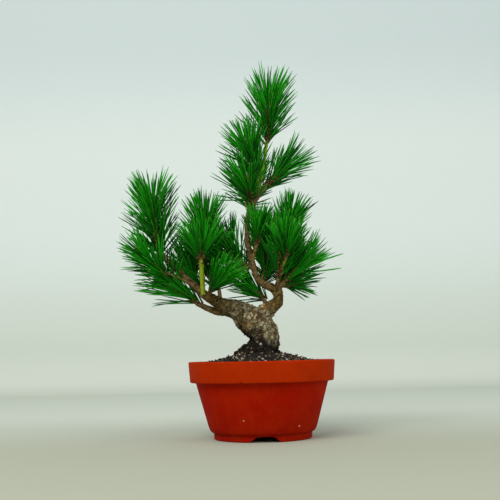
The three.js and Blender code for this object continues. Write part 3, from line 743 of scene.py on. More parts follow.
def soil_recipe():
    """Lumps on the upper face of the soil."""
    recipe = Recipe("Soil lumps", Lump="float", Material="material")
    place = recipe.grow("GeometryNodeInputPosition")
    normal = recipe.grow("GeometryNodeInputNormal")
    _, _, upward = recipe.parts(normal)
    lumps = noise(recipe.tree, place, 140.0, 4.0, 0.6) - 0.5
    lift = lumps * 2 * recipe["Lump"] * upward.rise(0.5, 0.9)
    recipe.end(recipe.moved(recipe.start, Offset=recipe.vector(z=lift)))
    return recipe


# Loose grains lie from this far below the top of the rim to this far above it.
GRAINS_FROM, GRAINS_TO = 0.009, 0.017


def grain_recipe():
    """Loose grains of bark, fired clay and pumice on the soil and against the foot of the trunk."""
    recipe = Recipe("Loose grains", Grain="float", Density="float", Seed="int", Material="material")
    normal = recipe.grow("GeometryNodeInputNormal")
    _, _, upward = recipe.parts(normal)
    _, _, height = recipe.parts(recipe.grow("GeometryNodeInputPosition"))
    band = height.above(POT_HEIGHT - GRAINS_FROM) - height.above(POT_HEIGHT + GRAINS_TO)
    top = (upward.above(0.3) * band).above(0.5)
    inputs = {"Mesh": recipe.start, "Selection": top}
    inputs.update({"Density": recipe["Density"], "Seed": recipe["Seed"]})
    scatter = recipe.grow("GeometryNodeDistributePointsOnFaces", inputs, "Points")
    grain = recipe.grow("GeometryNodeMeshIcoSphere", {"Radius": 1.0, "Subdivisions": 1}, "Mesh")
    kind = recipe.random(0.0, 1.0, recipe["Seed"])
    spin = recipe.random((-3.14, -3.14, -3.14), (3.14, 3.14, 3.14), 5, "FLOAT_VECTOR")
    shape = recipe.random((0.55, 0.6, 0.5), (1.25, 1.45, 1.0), 6, "FLOAT_VECTOR")
    longer = recipe.vector(1.0, 1.0 + 0.9 * (1 - kind.rise(0.45, 0.5)), 1.0)
    size = vectors(recipe.tree, "MULTIPLY", shape, longer)
    size = vectors(recipe.tree, "MULTIPLY", size, recipe.even(recipe["Grain"]))
    rotation = recipe.grow("FunctionNodeEulerToRotation", {"Euler": spin})
    inputs = {"Points": scatter, "Instance": grain, "Rotation": rotation, "Scale": size}
    grains = recipe.stored(recipe.grow("GeometryNodeInstanceOnPoints", inputs), "kind", kind, "INSTANCE")
    real = recipe.grow("GeometryNodeRealizeInstances", {"Geometry": grains})
    place = recipe.grow("GeometryNodeInputPosition")
    inputs = {"Vector": place, "Scale": 900.0, "Detail": 1.0}
    uneven = recipe.grow("ShaderNodeTexNoise", inputs, "Color")
    shift = vectors(recipe.tree, "SUBTRACT", uneven, (0.5, 0.5, 0.5))
    dents = vectors(recipe.tree, "MULTIPLY", shift, (0.0011,) * 3)
    recipe.end(recipe.moved(real, Offset=dents), smooth=False)
    return recipe


def peat(sizes):
    """Dark fibrous soil, lighter where it has dried."""
    mixing = Finish("peat")
    dry = mixing.noise(300.0, 5.0, 0.7)
    fibre = mixing.cells(900.0)
    base = mixing.mix(dry.rise(0.5, 0.75), sizes.peat_colour, (0.06, 0.042, 0.026, 1))
    return mixing.done(base, 0.85 + 0.1 * dry, dry + 0.5 * fibre, 0.0006, specular_ior_level=0.2)


def grains(sizes):
    """Mixed grains, each of one kind: black bark, fired clay or white pumice."""
    mixing = Finish("grains")
    kind = mixing.attribute("kind")
    wear = mixing.noise(1300.0, 3.0, 0.6)
    base = mixing.mix(kind.above(0.70), sizes.bark_colour, sizes.tan_colour)
    base = mixing.mix(kind.above(0.93), base, sizes.grit_colour)
    base = mixing.mix(wear.rise(0.3, 0.7) * 0.45, base, (0.03, 0.022, 0.014, 1))
    return mixing.done(base, 0.75 + 0.15 * wear, wear, 0.0003, specular_ior_level=0.25)


class BONSAI_OT_fill_soil(bpy.types.Operator):
    """Fills the pot with soil and scatters loose grains over it"""

    bl_idname = "bonsai.fill_soil"
    bl_label = "Soil"

    def execute(self, context):
        sizes = context.scene.bonsai_soil
        dark = peat(sizes)
        block = remeshed(merged_copy("soil", "soil_block"), sizes.voxel, 2)
        bed = soil_recipe().run("soil_bed", block, dark, Lump=sizes.lump)
        mixed = grains(sizes)
        ground = joined_mesh("ground", bed, merged_copy("trunk", "foot"))
        loose = grain_recipe().run(
            "soil_grains", ground, mixed, Grain=sizes.grain, Density=sizes.density, Seed=sizes.seed
        )
        shown("soil_bed", bed, dark, "soil", "soil")
        shown("soil_grains", loose, mixed, "soil", "soil")
        return {"FINISHED"}


# ---------------------------------------------------------------- trunk and branches


def girth_of(mesh, skin=1e-4, thickest=0.06, rounds=12):
    """Thickness of the wood under each corner of its surface, evened out over its neighbours."""
    corners = corners_of(mesh)
    normals = np.empty(len(mesh.vertices) * 3)
    mesh.vertices.foreach_get("normal", normals)
    normals = normals.reshape(-1, 3)
    tree = BVHTree.FromPolygons(
        [Vector(corner) for corner in corners], [tuple(face.vertices) for face in mesh.polygons]
    )
    depth = np.zeros(len(corners))
    for i, (corner, normal) in enumerate(zip(corners, normals)):
        start, inward = Vector(corner - normal * skin), Vector(-normal)
        hit = tree.ray_cast(start, inward, thickest)
        depth[i] = thickest if hit[3] is None else hit[3]
    edges = np.empty(len(mesh.edges) * 2, dtype=int)
    mesh.edges.foreach_get("vertices", edges)
    first, second = edges.reshape(-1, 2).T
    for _ in range(rounds):
        total = depth.copy()
        count = np.ones(len(depth))
        np.add.at(total, first, depth[second])
        np.add.at(total, second, depth[first])
        np.add.at(count, first, 1)
        np.add.at(count, second, 1)
        depth = total / count
    return depth


def bark_recipe():
    """Plates, cracks and flakes, deeper where the wood is thick."""
    recipe = Recipe(
        "Bark relief",
        Plate="float",
        Crack="float",
        Flake="float",
        Flakes="float",
        Lump="float",
        Loose="float",
        Material="material",
    )
    tree = recipe.tree
    place = recipe.grow("GeometryNodeInputPosition")
    normal = recipe.grow("GeometryNodeInputNormal")
    thick = recipe.attribute("girth").rise(0.004, 0.024)
    sway = grow(tree, "ShaderNodeTexNoise", {"Vector": place, "Scale": 210.0, "Detail": 4.0}, "Color")
    bent = vectors(tree, "ADD", place, vectors(tree, "MULTIPLY", sway, (0.011, 0.011, 0.011)))
    tall = vectors(tree, "MULTIPLY", bent, (1.0, 1.0, 0.72))
    edge = cells(tree, tall, 1 / recipe["Plate"], feature="DISTANCE_TO_EDGE")
    deep = noise(tree, place, 120.0, 2.0).rise(0.40, 0.60)
    shaded_crack = (1 - edge.rise(0.0, 0.16)) * (0.25 + 0.75 * deep)
    flat = cells(tree, bent, 1 / recipe["Flake"])
    flakes = (flat - 0.4) * (0.35 + 0.65 * thick)
    lumps = noise(tree, place, 95.0, 3.0, 0.55) - 0.5
    rise = lumps * 2 * recipe["Lump"] * thick
    rise = rise - shaded_crack * recipe["Crack"] * thick - flakes * recipe["Flakes"] * 2
    # The crack mask is stored for the painted shade inside the cracks.
    marked = recipe.stored(recipe.start, "shaded_crack", shaded_crack)
    relief = recipe.moved(marked, Offset=vectors(tree, "MULTIPLY", normal, recipe.even(rise)))

    rough = noise(tree, place, 60.0, 2.0).rise(0.42, 0.62) * recipe.attribute("girth").rise(0.010, 0.020)
    inputs = {"Mesh": relief, "Density": recipe["Loose"] * rough, "Seed": 4}
    scatter = recipe.grow("GeometryNodeDistributePointsOnFaces", inputs, "Points")
    tilted = recipe.turned(over(scatter, "Rotation"), (1.0, 0.0, 0.0), recipe.random(-0.75, 0.75, 31))
    tilted = recipe.turned(tilted, (0.0, 0.0, 1.0), recipe.random(-3.1, 3.1, 32))
    flake = recipe.grow("GeometryNodeMeshIcoSphere", {"Radius": 0.5, "Subdivisions": 1}, "Mesh")
    shape = recipe.random((0.0016, 0.0012, 0.0004), (0.0042, 0.0026, 0.0009), 33, "FLOAT_VECTOR")
    inputs = {"Points": scatter, "Instance": flake, "Rotation": tilted, "Scale": shape}
    flakes = recipe.grow("GeometryNodeInstanceOnPoints", inputs)
    flakes = recipe.stored(flakes, "loose", recipe.random(0.3, 1.0, 34), "INSTANCE")
    recipe.end(recipe.joined(relief, flakes))
    return recipe


# Heights above the rim up to which the bark is painted dark, partly dark bark at the soil and partly painted
# shade, and from which it has its own colours. The line between them rises to the left, into the painted
# shade of the left side, as far as this from the pot's axis.
DARK_FOOT_FULL, DARK_FOOT_END, DARK_FOOT_REACH = 0.015, 0.035, 0.018


def bark(sizes):
    """Weathered plates with rusty spots on the trunk, olive-brown rings on the limbs, painted shade in the
    cracks and between the small scales, and a dark foot at the soil that is partly dark bark and partly
    painted shade.
    """
    mixing = Finish("bark")
    girth = mixing.attribute("girth")
    shaded_crack = mixing.attribute("shaded_crack")
    thick = girth.rise(0.012, 0.026)
    blotch = mixing.noise(120.0, 4.0, 0.6)
    fine = mixing.noise(760.0, 4.0, 0.7)
    scaly = mixing.cells(430.0, place=mixing.stretched(1.0, 1.0, 0.8))
    plates = mixing.mix(blotch.rise(0.42, 0.60), sizes.plate_dark, sizes.plate_light)
    rust = mixing.noise(85.0, 4.0, 0.6, mixing.stretched(1.0, 1.0, 1.2)).rise(0.56, 0.66)
    plates = mixing.mix(rust * 0.75, plates, sizes.rust)
    worn = mixing.noise(330.0, 4.0, 0.65).rise(0.46, 0.68)
    limbs = mixing.mix(worn, sizes.limb, sizes.limb_light)
    limbs = mixing.mix((1 - girth.rise(0.006, 0.013)) * 0.55, limbs, sizes.twig)
    limbs = mixing.mix(mixing.noise(240.0, 3.0).rise(0.55, 0.75) * 0.6, limbs, (0.045, 0.024, 0.012, 1))
    base = mixing.mix(thick, limbs, plates)
    base = mixing.mix(fine.rise(0.50, 0.72) * 0.55, base, (0.05, 0.033, 0.018, 1))
    # Painted shade in the grooves between the small scales and inside the cracks.
    base = mixing.mix(scaly.rise(0.45, 0.75) * 0.35, base, sizes.shaded_crack)
    base = mixing.mix(shaded_crack * 0.8, base, sizes.shaded_crack)
    loose = mixing.attribute("loose")
    base = mixing.mix(loose * 0.65, base, (0.055, 0.036, 0.020, 1))
    # Painted shade mixed with dark bark at the trunk's foot, reaching higher on the left.
    slant = (mixing.across - POT_AXIS.x).at_least(-DARK_FOOT_REACH)
    level = mixing.height + 0.35 * slant + 0.022 * (blotch - 0.5)
    dark_bark_and_shade = 1 - level.rise(POT_HEIGHT + DARK_FOOT_FULL, POT_HEIGHT + DARK_FOOT_END)
    base = mixing.mix(dark_bark_and_shade * 0.97, base, sizes.foot)
    relief = fine * 0.7 + blotch * 0.6 - scaly * 0.7
    return mixing.done(base, 0.80 + 0.12 * fine, relief, 0.0007, specular_ior_level=0.07)


class BONSAI_OT_grow_trunk(bpy.types.Operator):
    """Grows plated and flaking bark over the trunk, its roots and its branches"""

    bl_idname = "bonsai.grow_trunk"
    bl_label = "Trunk and branches"

    def execute(self, context):
        sizes = context.scene.bonsai_bark
        wood = remeshed(merged_copy("trunk", "wood"), sizes.voxel, 4)
        wood.attributes.new("girth", "FLOAT", "POINT").data.foreach_set("value", girth_of(wood))
        material = bark(sizes)
        mesh = bark_recipe().run(
            "trunk_bark",
            wood,
            material,
            Plate=sizes.plate,
            Crack=sizes.plate_depth,
            Flake=sizes.flake,
            Flakes=sizes.flake_depth,
            Lump=sizes.lump_depth,
            Loose=sizes.loose,
        )
        shown("trunk_bark", mesh, material, "bark", "trunk")
        return {"FINISHED"}


# ---------------------------------------------------------------- shoots


class Shoot:
    """The middle line of a shoot's CAD node, from the wood to its tip, and its radius along it."""

    def __init__(self, name, wood):
        self.name = name
        points = self.surface(merged_copy("shoot_" + name, "shoot"))
        middle = points.mean(axis=0)
        axis = np.linalg.svd(points - middle, full_matrices=False)[2][0]
        share = (points - middle) @ axis
        ends = [points[share.argmin()], points[share.argmax()]]
        gaps = [wood.find_nearest(Vector(end))[3] for end in ends]
        if gaps[0] > gaps[1]:
            axis, share = -axis, -share
        share = share - share.min()
        self.slice(points, share)

    @staticmethod
    def surface(mesh, spacing=0.0003):
        """Evenly spaced points on the edges of a mesh."""
        corners = corners_of(mesh)
        points = []
        for edge in mesh.edges:
            a, b = corners[edge.vertices[0]], corners[edge.vertices[1]]
            steps = max(1, int(np.linalg.norm(b - a) / spacing))
            points.append(a + (b - a) * np.linspace(0, 1, steps, endpoint=False)[:, None])
        return np.concatenate(points)

    def slice(self, points, share, thickness=0.0025):
        """Finds the middle line and the radius from thin slices across the shoot."""
        centres, radii = [], []
        count = max(4, round(share.max() / thickness))
        bounds = np.linspace(0, share.max(), count + 1)
        for low, high in zip(bounds, bounds[1:]):
            ring = points[(share >= low) & (share <= high)]
            centres.append((ring.min(axis=0) + ring.max(axis=0)) / 2)
            radii.append(np.linalg.norm(ring - centres[-1], axis=1).mean())
        centres = np.array(centres)
        for _ in range(3):
            centres[1:-1] = (centres[:-2] + 2 * centres[1:-1] + centres[2:]) / 4
        first = centres[0] - (centres[1] - centres[0]) * 1.2
        last = centres[-1] + (centres[-1] - centres[-2]) * 0.5
        self.line = np.vstack([first, centres, last])
        self.gone = np.concatenate([[0], np.linalg.norm(np.diff(self.line, axis=0), axis=1).cumsum()])
        self.length = self.gone[-1]
        self.radius = float(np.median(radii))

    def at(self, gone):
        """Points on the middle line at distances along it, or on its straight run back into the branch."""
        back = (self.line[0] - self.line[3]) / np.linalg.norm(self.line[0] - self.line[3])
        inside = np.stack([np.interp(gone, self.gone, self.line[:, k]) for k in range(3)], axis=-1)
        return inside + back * np.maximum(-np.asarray(gone), 0)[..., None]

    def along(self, points):
        """How far along the line the places nearest to some points are."""
        steps = np.linspace(0, self.length, 160)
        spots = self.at(steps)
        gaps = np.linalg.norm(points[:, None, :] - spots[None, :, :], axis=2)
        return steps[gaps.argmin(axis=1)], gaps.min(axis=1)


def wood_tree():
    """The surface of the wood, to find which end of a shoot grows from it."""
    mesh = merged_copy("trunk", "wood_check")
    faces = [tuple(face.vertices) for face in mesh.polygons]
    return BVHTree.FromPolygons([vertex.co.copy() for vertex in mesh.vertices], faces)


def shoots():
    """Every shoot of the frame, in the frame's order."""
    wood = wood_tree()
    return [Shoot(name, wood) for name in SHOOTS]


# Corners of a tuft's CAD node that stand out further than this can be needle tips. The needles grown
# here follow the longer and the wider ones, at these percentiles.
TIPS_OUT = 0.010
LONGER, WIDER = 88, 85


class Tuft:
    """How a shoot's needles stand: where they start along it, their length and their lean in degrees."""

    def __init__(self, shoot):
        mesh = merged_copy("needles_" + shoot.name, "tuft")
        corners = corners_of(mesh)
        links = [[] for _ in corners]
        for edge in mesh.edges:
            a, b = edge.vertices
            links[a].append(b)
            links[b].append(a)
        gone, out = shoot.along(corners)
        far = [i for i in range(len(corners)) if out[i] > TIPS_OUT]
        tips = [i for i in far if all(out[j] < out[i] for j in links[i])]
        feet = np.array([corners[links[i]].mean(axis=0) for i in tips])
        reach = corners[tips] - feet
        lengths = np.linalg.norm(reach, axis=1)
        start = shoot.along(feet)[0]
        before, after = shoot.at(np.maximum(start - 0.002, 0)), shoot.at(start + 0.002)
        tangent = (after - before) / np.linalg.norm(after - before, axis=1)[:, None]
        lean = np.degrees(np.arccos(np.clip((tangent * reach).sum(axis=1) / lengths, -1, 1)))
        self.start = max(0.0025, start.min() - 0.001)
        self.length = float(np.percentile(lengths, LONGER))
        self.lean = float(np.percentile(lean, WIDER))


def stem_recipe():
    """A shoot with the scars of old scales, dry scales along it and a scaly bud at its end."""
    recipe = Recipe(
        "Stem and bud",
        Scales="int",
        ScaleSize="float",
        ScaleStart="float",
        BudScales="int",
        BudScale="float",
        BudStart="float",
        Seed="int",
        Material="material",
    )
    tree = recipe.tree
    line = recipe.grow("GeometryNodeMeshToCurve", {"Mesh": recipe.start})
    inputs = {"Resolution": 10, "Radius": 1.0}
    ring = recipe.grow("GeometryNodeCurvePrimitiveCircle", inputs, "Curve", mode="RADIUS")
    inputs = {"Curve": line, "Profile Curve": ring, "Scale": recipe.attribute("thick"), "Fill Caps": True}
    tube = recipe.grow("GeometryNodeCurveToMesh", inputs)
    place = recipe.grow("GeometryNodeInputPosition")
    normal = recipe.grow("GeometryNodeInputNormal")
    scars = cells(tree, vectors(tree, "MULTIPLY", place, (1.0, 1.0, 0.7)), 620.0) - 0.4
    swell = scars * -0.0007 * recipe.attribute("rugged")
    tube = recipe.moved(tube, Offset=vectors(tree, "MULTIPLY", normal, recipe.even(swell)))

    def scales(start, count, size, lean, seed):
        """Scales in a spiral from a share of the way along the shoot to its tip."""
        inputs = {"Curve": line, "Start": start, "End": 0.995}
        part = recipe.grow("GeometryNodeTrimCurve", inputs, mode="FACTOR")
        inputs = {"Curve": part, "Count": count}
        points = recipe.grow("GeometryNodeCurveToPoints", inputs, "Points", mode="COUNT")
        index = recipe.grow("GeometryNodeInputIndex")
        turn = index * GOLDEN_ANGLE + recipe.random(-0.5, 0.5, recipe["Seed"])
        around = recipe.turned(over(points, "Rotation"), (0.0, 0.0, 1.0), turn)
        leaning = recipe.turned(around, (1.0, 0.0, 0.0), lean + recipe.random(-0.12, 0.2, seed))
        out = recipe.grow(
            "FunctionNodeRotateVector",
            {"Vector": recipe.vector(y=recipe.attribute("thick") * -0.82), "Rotation": around},
        )
        points = recipe.moved(points, Offset=out)
        cone = {"Vertices": 5, "Side Segments": 2, "Fill Segments": 1, "Radius Top": 0.0}
        scale = recipe.grow("GeometryNodeMeshCone", {**cone, "Radius Bottom": 0.34, "Depth": 1.0}, "Mesh")
        scale = recipe.grow("GeometryNodeTransform", {"Geometry": scale, "Scale": (1.0, 0.42, 1.0)})
        _, _, up = recipe.parts(recipe.grow("GeometryNodeInputPosition"))
        scale = recipe.stored(scale, "up", up)
        large = size * recipe.random(0.7, 1.25, seed)
        inputs = {"Points": points, "Instance": scale, "Rotation": leaning}
        placed = recipe.grow("GeometryNodeInstanceOnPoints", {**inputs, "Scale": recipe.even(large)})
        return recipe.stored(placed, "scaly", recipe.random(0.55, 1.0, seed), "INSTANCE")

    dry = scales(recipe["ScaleStart"], recipe["Scales"], recipe["ScaleSize"], 0.42, 21)
    bud = scales(recipe["BudStart"], recipe["BudScales"], recipe["BudScale"], 0.10, 22)
    recipe.end(recipe.joined(tube, dry, bud))
    return recipe


def shoot_skin(sizes):
    """Ribbed brown shoot or green candle, with papery scales that are dark inside and pale at the edge."""
    mixing = Finish("shoot_skin")
    fresh = mixing.attribute("fresh")
    scaly = mixing.attribute("scaly")
    up = mixing.attribute("up")
    blotch = mixing.noise(420.0, 3.0, 0.6)
    fine = mixing.noise(1700.0, 3.0, 0.6)
    brown = mixing.mix(blotch.rise(0.4, 0.65), sizes.brown, (0.30, 0.20, 0.085, 1))
    streak = mixing.noise(1.0, 3.0, 0.6, mixing.stretched(700.0, 700.0, 170.0))
    green = mixing.mix(streak.rise(0.46, 0.64) * 0.7, sizes.candle, (0.085, 0.115, 0.006, 1))
    green = mixing.mix(blotch.rise(0.60, 0.72) * 0.8, green, (0.14, 0.065, 0.012, 1))
    base = mixing.mix(fresh, brown, green)
    scale = mixing.mix(up.rise(0.15, 0.75), sizes.scale_dark, sizes.scale_light)
    scale = mixing.mix(scaly.rise(0.6, 0.9) * 0.5, scale, (0.12, 0.045, 0.018, 1))
    base = mixing.mix(scaly.above(0.3), base, scale)
    base = mixing.mix(fine.rise(0.55, 0.75) * 0.4, base, (0.05, 0.025, 0.010, 1))
    return mixing.done(base, 0.62 + 0.2 * fine, fine + blotch, 0.00025, specular_ior_level=0.3)


def stem_line(shoot, tuft, bud_length, step=0.0007, fade=0.006, thinnest=0.00012):
    """The line of a shoot's stem with its thickness, ruggedness and greenness along it."""
    gone = np.linspace(0, shoot.length, max(12, round(shoot.length / step)))
    left = shoot.length - gone
    bud = np.clip(left / bud_length, 0, 1)
    swollen = np.where(bud < 1, np.sin(np.pi * np.clip(bud, 0, 1) ** 0.62) ** 0.75 * 1.25, 0)
    taper = 1.08 - 0.22 * gone / shoot.length
    thick = shoot.radius * np.maximum(np.where(bud < 1, taper * np.clip(bud * 3, 0, 1), taper), swollen)
    thick = np.maximum(thick * (1 - 0.14 * CANDLES.get(shoot.name, 0.0)), thinnest)
    bare = 1 - np.clip((gone - tuft.start) / fade, 0, 1)
    fresh = CANDLES.get(shoot.name, 0.08) * np.clip(bare + 0.12, 0, 1)
    rugged = np.where(bud < 1, 0.2, 1.0)
    return line_mesh("stem_line", shoot.at(gone), thick=thick, fresh=fresh, rugged=rugged)


class BONSAI_OT_grow_shoots(bpy.types.Operator):
    """Grows the candles and twigs that carry the needles, each with its scaly bud"""

    bl_idname = "bonsai.grow_shoots"
    bl_label = "Shoots and buds"

    def execute(self, context):
        sizes = context.scene.bonsai_shoots
        recipe = stem_recipe()
        skin = shoot_skin(sizes)
        for number, shoot in enumerate(shoots()):
            tuft = Tuft(shoot)
            green = CANDLES.get(shoot.name, 0.0)  # a greener candle has fewer scales and a barer foot
            mesh = recipe.run(
                "stem_" + shoot.name,
                stem_line(shoot, tuft, sizes.bud_length),
                skin,
                Scales=round(sizes.scales * shoot.length * (1 - 0.55 * green)),
                ScaleSize=sizes.leaf_scale,
                ScaleStart=0.06 + 0.40 * green,
                BudScales=sizes.bud_scales,
                BudScale=sizes.bud_scale,
                BudStart=1 - sizes.bud_length / shoot.length,
                Seed=sizes.seed + number,
            )
            shown("stem_" + shoot.name, mesh, skin, "shoot", "shoot_" + shoot.name)
        return {"FINISHED"}


# ---------------------------------------------------------------- needles


LEAST_PAIRS = 52  # on a short shoot
BARE_TIP = 0.010  # end of a shoot without needles
TOP_LEAN = math.radians(2.0)  # of the last needles at a shoot's tip


def needle_recipe():
    """Pairs of needles in sheaths round a line, leaning out less and less towards its tip."""
    recipe = Recipe(
        "Needle tuft",
        Pairs="int",
        Length="float",
        Width="float",
        Parting="float",
        FootLean="float",
        TopLean="float",
        StemRadius="float",
        Wander="float",
        Sheath="float",
        Seed="int",
        Material="material",
    )
    tree = recipe.tree

    def needle(side):
        """One needle of a pair, of length 1, tapered and curved away to its side."""
        cone = {"Vertices": 5, "Side Segments": 6, "Fill Segments": 1, "Radius Top": 0.5}
        blade = recipe.grow("GeometryNodeMeshCone", {**cone, "Radius Bottom": 0.5, "Depth": 1.0}, "Mesh")
        x, y, z = recipe.parts(recipe.grow("GeometryNodeInputPosition"))
        width = recipe["Width"] * (1.0 - 0.72 * z**10.0)
        apart = recipe["Width"] * 0.42 + recipe["Parting"] * z**1.6
        shaped = recipe.vector(x * width + side * apart, y * width * 0.8, z)
        marked = recipe.stored(blade, "along", z)
        return recipe.moved(marked, Position=shaped)

    cone = {"Vertices": 6, "Side Segments": 1, "Fill Segments": 1, "Radius Top": 0.85, "Radius Bottom": 1.0}
    sheath = recipe.grow("GeometryNodeMeshCone", {**cone, "Depth": 1.0}, "Mesh")
    size = recipe.vector(recipe["Width"] * 1.05, recipe["Width"] * 0.8, recipe["Sheath"])
    sheath = recipe.grow("GeometryNodeTransform", {"Geometry": sheath, "Scale": size})
    sheath = recipe.stored(sheath, "sheath", 1.0)
    pair = recipe.joined(needle(1.0), needle(-1.0), sheath)

    line = recipe.grow("GeometryNodeMeshToCurve", {"Mesh": recipe.start})
    points = recipe.grow("GeometryNodeCurveToPoints", {"Curve": line}, "Points", mode="EVALUATED")
    index = recipe.grow("GeometryNodeInputIndex")
    share = index / recipe["Pairs"]
    seed = recipe["Seed"]
    turn = index * GOLDEN_ANGLE + recipe.random(-0.45, 0.45, seed)
    least = recipe["TopLean"] + recipe["FootLean"] * 0.6 * (1 - share)
    most = recipe["FootLean"] * (1.75 - 0.6 * share)
    spread = recipe.random(0.0, 1.0, seed + 1) ** 0.6
    lean = least + (most - least) * spread
    around = recipe.turned(over(points, "Rotation"), (0.0, 0.0, 1.0), turn)
    leaning = recipe.turned(around, (1.0, 0.0, 0.0), lean)
    leaning = recipe.turned(leaning, (0.0, 0.0, 1.0), recipe.random(-3.1, 3.1, seed + 2))
    out = recipe.grow(
        "FunctionNodeRotateVector",
        {"Vector": recipe.vector(y=recipe["StemRadius"] * -1.0), "Rotation": around},
    )
    points = recipe.moved(points, Offset=out)
    tall = recipe["Length"] * recipe.random(0.90, 1.05, seed + 3) * (0.80 + 0.2 * spread)
    inputs = {"Points": points, "Instance": pair, "Rotation": leaning, "Scale": recipe.vector(1.0, 1.0, tall)}
    tuft = recipe.grow("GeometryNodeInstanceOnPoints", inputs)
    # shade gives each pair its painted light and shade; low drives the painted shade of the pairs near the
    # shoot's foot.
    tuft = recipe.stored(tuft, "shade", recipe.random(0.0, 1.0, seed + 4), "INSTANCE")
    tuft = recipe.stored(tuft, "low", 1 - share, "INSTANCE")
    drift = recipe.random((-1.0, -1.0, -1.2), (1.0, 1.0, 0.5), seed + 5, "FLOAT_VECTOR")
    tuft = recipe.stored(tuft, "drift", drift, "INSTANCE", "FLOAT_VECTOR")
    real = recipe.grow("GeometryNodeRealizeInstances", {"Geometry": tuft})
    sweep = recipe["Length"] * recipe["Wander"] * recipe.attribute("along") ** 2.0
    drift = recipe.attribute("drift", "FLOAT_VECTOR")
    recipe.end(recipe.moved(real, Offset=vectors(tree, "MULTIPLY", drift, recipe.even(sweep))))
    return recipe


def needle_green(sizes):
    """Deep saturated green with painted light and shade: pairs painted lighter or darker at random as if
    sunlit or shaded, and the pairs low on a shoot and the feet of all needles painted darker as if shaded
    inside the tuft; with yellower tips and papery sheaths.
    """
    mixing = Finish("needle_green")
    shade = mixing.attribute("shade")
    along = mixing.attribute("along")
    sheath = mixing.attribute("sheath")
    low = mixing.attribute("low")
    fine = mixing.noise(1.0, 2.0, 0.6, mixing.stretched(900.0, 900.0, 240.0))
    # Painted light and shade: each pair is painted lighter or darker at random, as if sunlit or shaded.
    bright = (shade * 0.7 + fine * 0.5).rise(0.15, 0.95)
    base = mixing.mix(bright, sizes.deep, sizes.bright)
    # Painted shade inside the tuft: the pairs low on a shoot and the feet of all needles are painted darker.
    base = mixing.mix(low.rise(0.45, 1.0) * 0.5, base, sizes.deep)
    base = mixing.mix((1 - along.rise(0.05, 0.45)) * 0.45, base, sizes.deep)
    base = mixing.mix(along.rise(0.90, 1.0) * (0.25 + 0.5 * shade), base, sizes.tip)
    paper = mixing.mix(fine.rise(0.35, 0.65), sizes.sheath_colour, (0.07, 0.028, 0.012, 1))
    base = mixing.mix(sheath.above(0.5), base, paper)
    rough = 0.45 + 0.2 * fine + 0.2 * sheath
    return mixing.done(base, rough, fine, 0.0001, specular_ior_level=0.12)


class BONSAI_OT_grow_needles(bpy.types.Operator):
    """Grows a tuft of paired needles round every shoot"""

    bl_idname = "bonsai.grow_needles"
    bl_label = "Needles"

    def execute(self, context):
        sizes = context.scene.bonsai_needles
        recipe = needle_recipe()
        green = needle_green(sizes)
        for number, shoot in enumerate(shoots()):
            tuft = Tuft(shoot)
            end = shoot.length - BARE_TIP
            start = -OLD_GROWTH.get(shoot.name, -tuft.start)
            pairs = max(LEAST_PAIRS, sizes.pairs * (end - start))
            pairs = round(pairs * SPARSE.get(shoot.name, 1.0))
            gone = start + (end - start) * np.linspace(0, 1, pairs) ** sizes.crowding
            mesh = recipe.run(
                "tuft_" + shoot.name,
                line_mesh("tuft_line", shoot.at(gone)),
                green,
                Pairs=pairs,
                Length=tuft.length,
                Width=sizes.width,
                Parting=sizes.parting,
                FootLean=math.radians(tuft.lean),
                TopLean=TOP_LEAN,
                StemRadius=shoot.radius * 0.9,
                Wander=sizes.wander,
                Sheath=sizes.sheath,
                Seed=sizes.seed + 10 * number,
            )
            shown("tuft_" + shoot.name, mesh, green, "needles", "needles_" + shoot.name)
        return {"FINISHED"}


# ---------------------------------------------------------------- stage


def paper(sizes):
    """Matt backdrop paper: table tone in front, painted lighter towards the back, then wall tones with
    painted light and shade that change slowly with height, lightest in the middle.
    """
    mixing = Finish("backdrop_paper")
    # Painted light and shade on the wall: darker towards its foot and top.
    wall = mixing.mix(mixing.height.rise(0.03, 0.41), sizes.shaded_wall_foot, sizes.wall)
    wall = mixing.mix(mixing.height.rise(0.56, 0.87), wall, sizes.shaded_wall_top)
    # Painted light on the table: lighter towards the back.
    floor = mixing.mix(mixing.behind.rise(-0.15, 0.42) * 0.78, sizes.floor, sizes.shaded_wall_foot)
    base = mixing.mix(mixing.height.rise(0.002, 0.03), floor, wall)
    fibre = mixing.noise(60.0, 4.0, 0.6)
    base = mixing.mix(fibre * 0.03, base, (0.5, 0.5, 0.45, 1))
    return mixing.done(base, 0.95, fibre, 0.0002, specular_ior_level=0.05)


def backdrop_mesh(back=1.05, bend=0.10, half_width=2.6, front=-2.4, top=2.4, steps=14):
    """A table that sweeps up into a wall."""
    outline = [(front, 0.0)]
    for step in range(steps + 1):
        angle = math.pi / 2 * step / steps
        outline.append((back + bend * math.sin(angle), bend * (1 - math.cos(angle))))
    outline.append((back + bend, top))
    middle = Vector((POT_AXIS.x, POT_AXIS.y, 0.0))
    corners = [middle + Vector((x, y, z)) for y, z in outline for x in (-half_width, half_width)]
    faces = [(2 * i, 2 * i + 1, 2 * i + 3, 2 * i + 2) for i in range(len(outline) - 1)]
    mesh = bpy.data.meshes.new("backdrop")
    mesh.from_pydata(corners, [], faces)
    mesh.shade_smooth()
    return mesh


def soft_light(name, place, target, size, power, tint):
    """A soft box that faces a target."""
    light = bpy.data.lights.new(name, "AREA")
    light.shape = "RECTANGLE"
    light.size, light.size_y = size
    light.energy = power
    light.color = tint
    lamp = bpy.data.objects.new(name, light)
    lamp.location = place
    lamp.rotation_euler = (Vector(target) - Vector(place)).to_track_quat("-Z", "Y").to_euler()
    bpy.context.scene.collection.objects.link(lamp)


# The camera's focal length in millimetres, its place from the pot's axis on the floor in metres,
# and its tilt and roll in degrees.
FOCAL_LENGTH = 61.2
CAMERA_PLACE = (-0.0092, -0.880, 0.0845)
CAMERA_TILT, CAMERA_ROLL = 97.0, -1.29


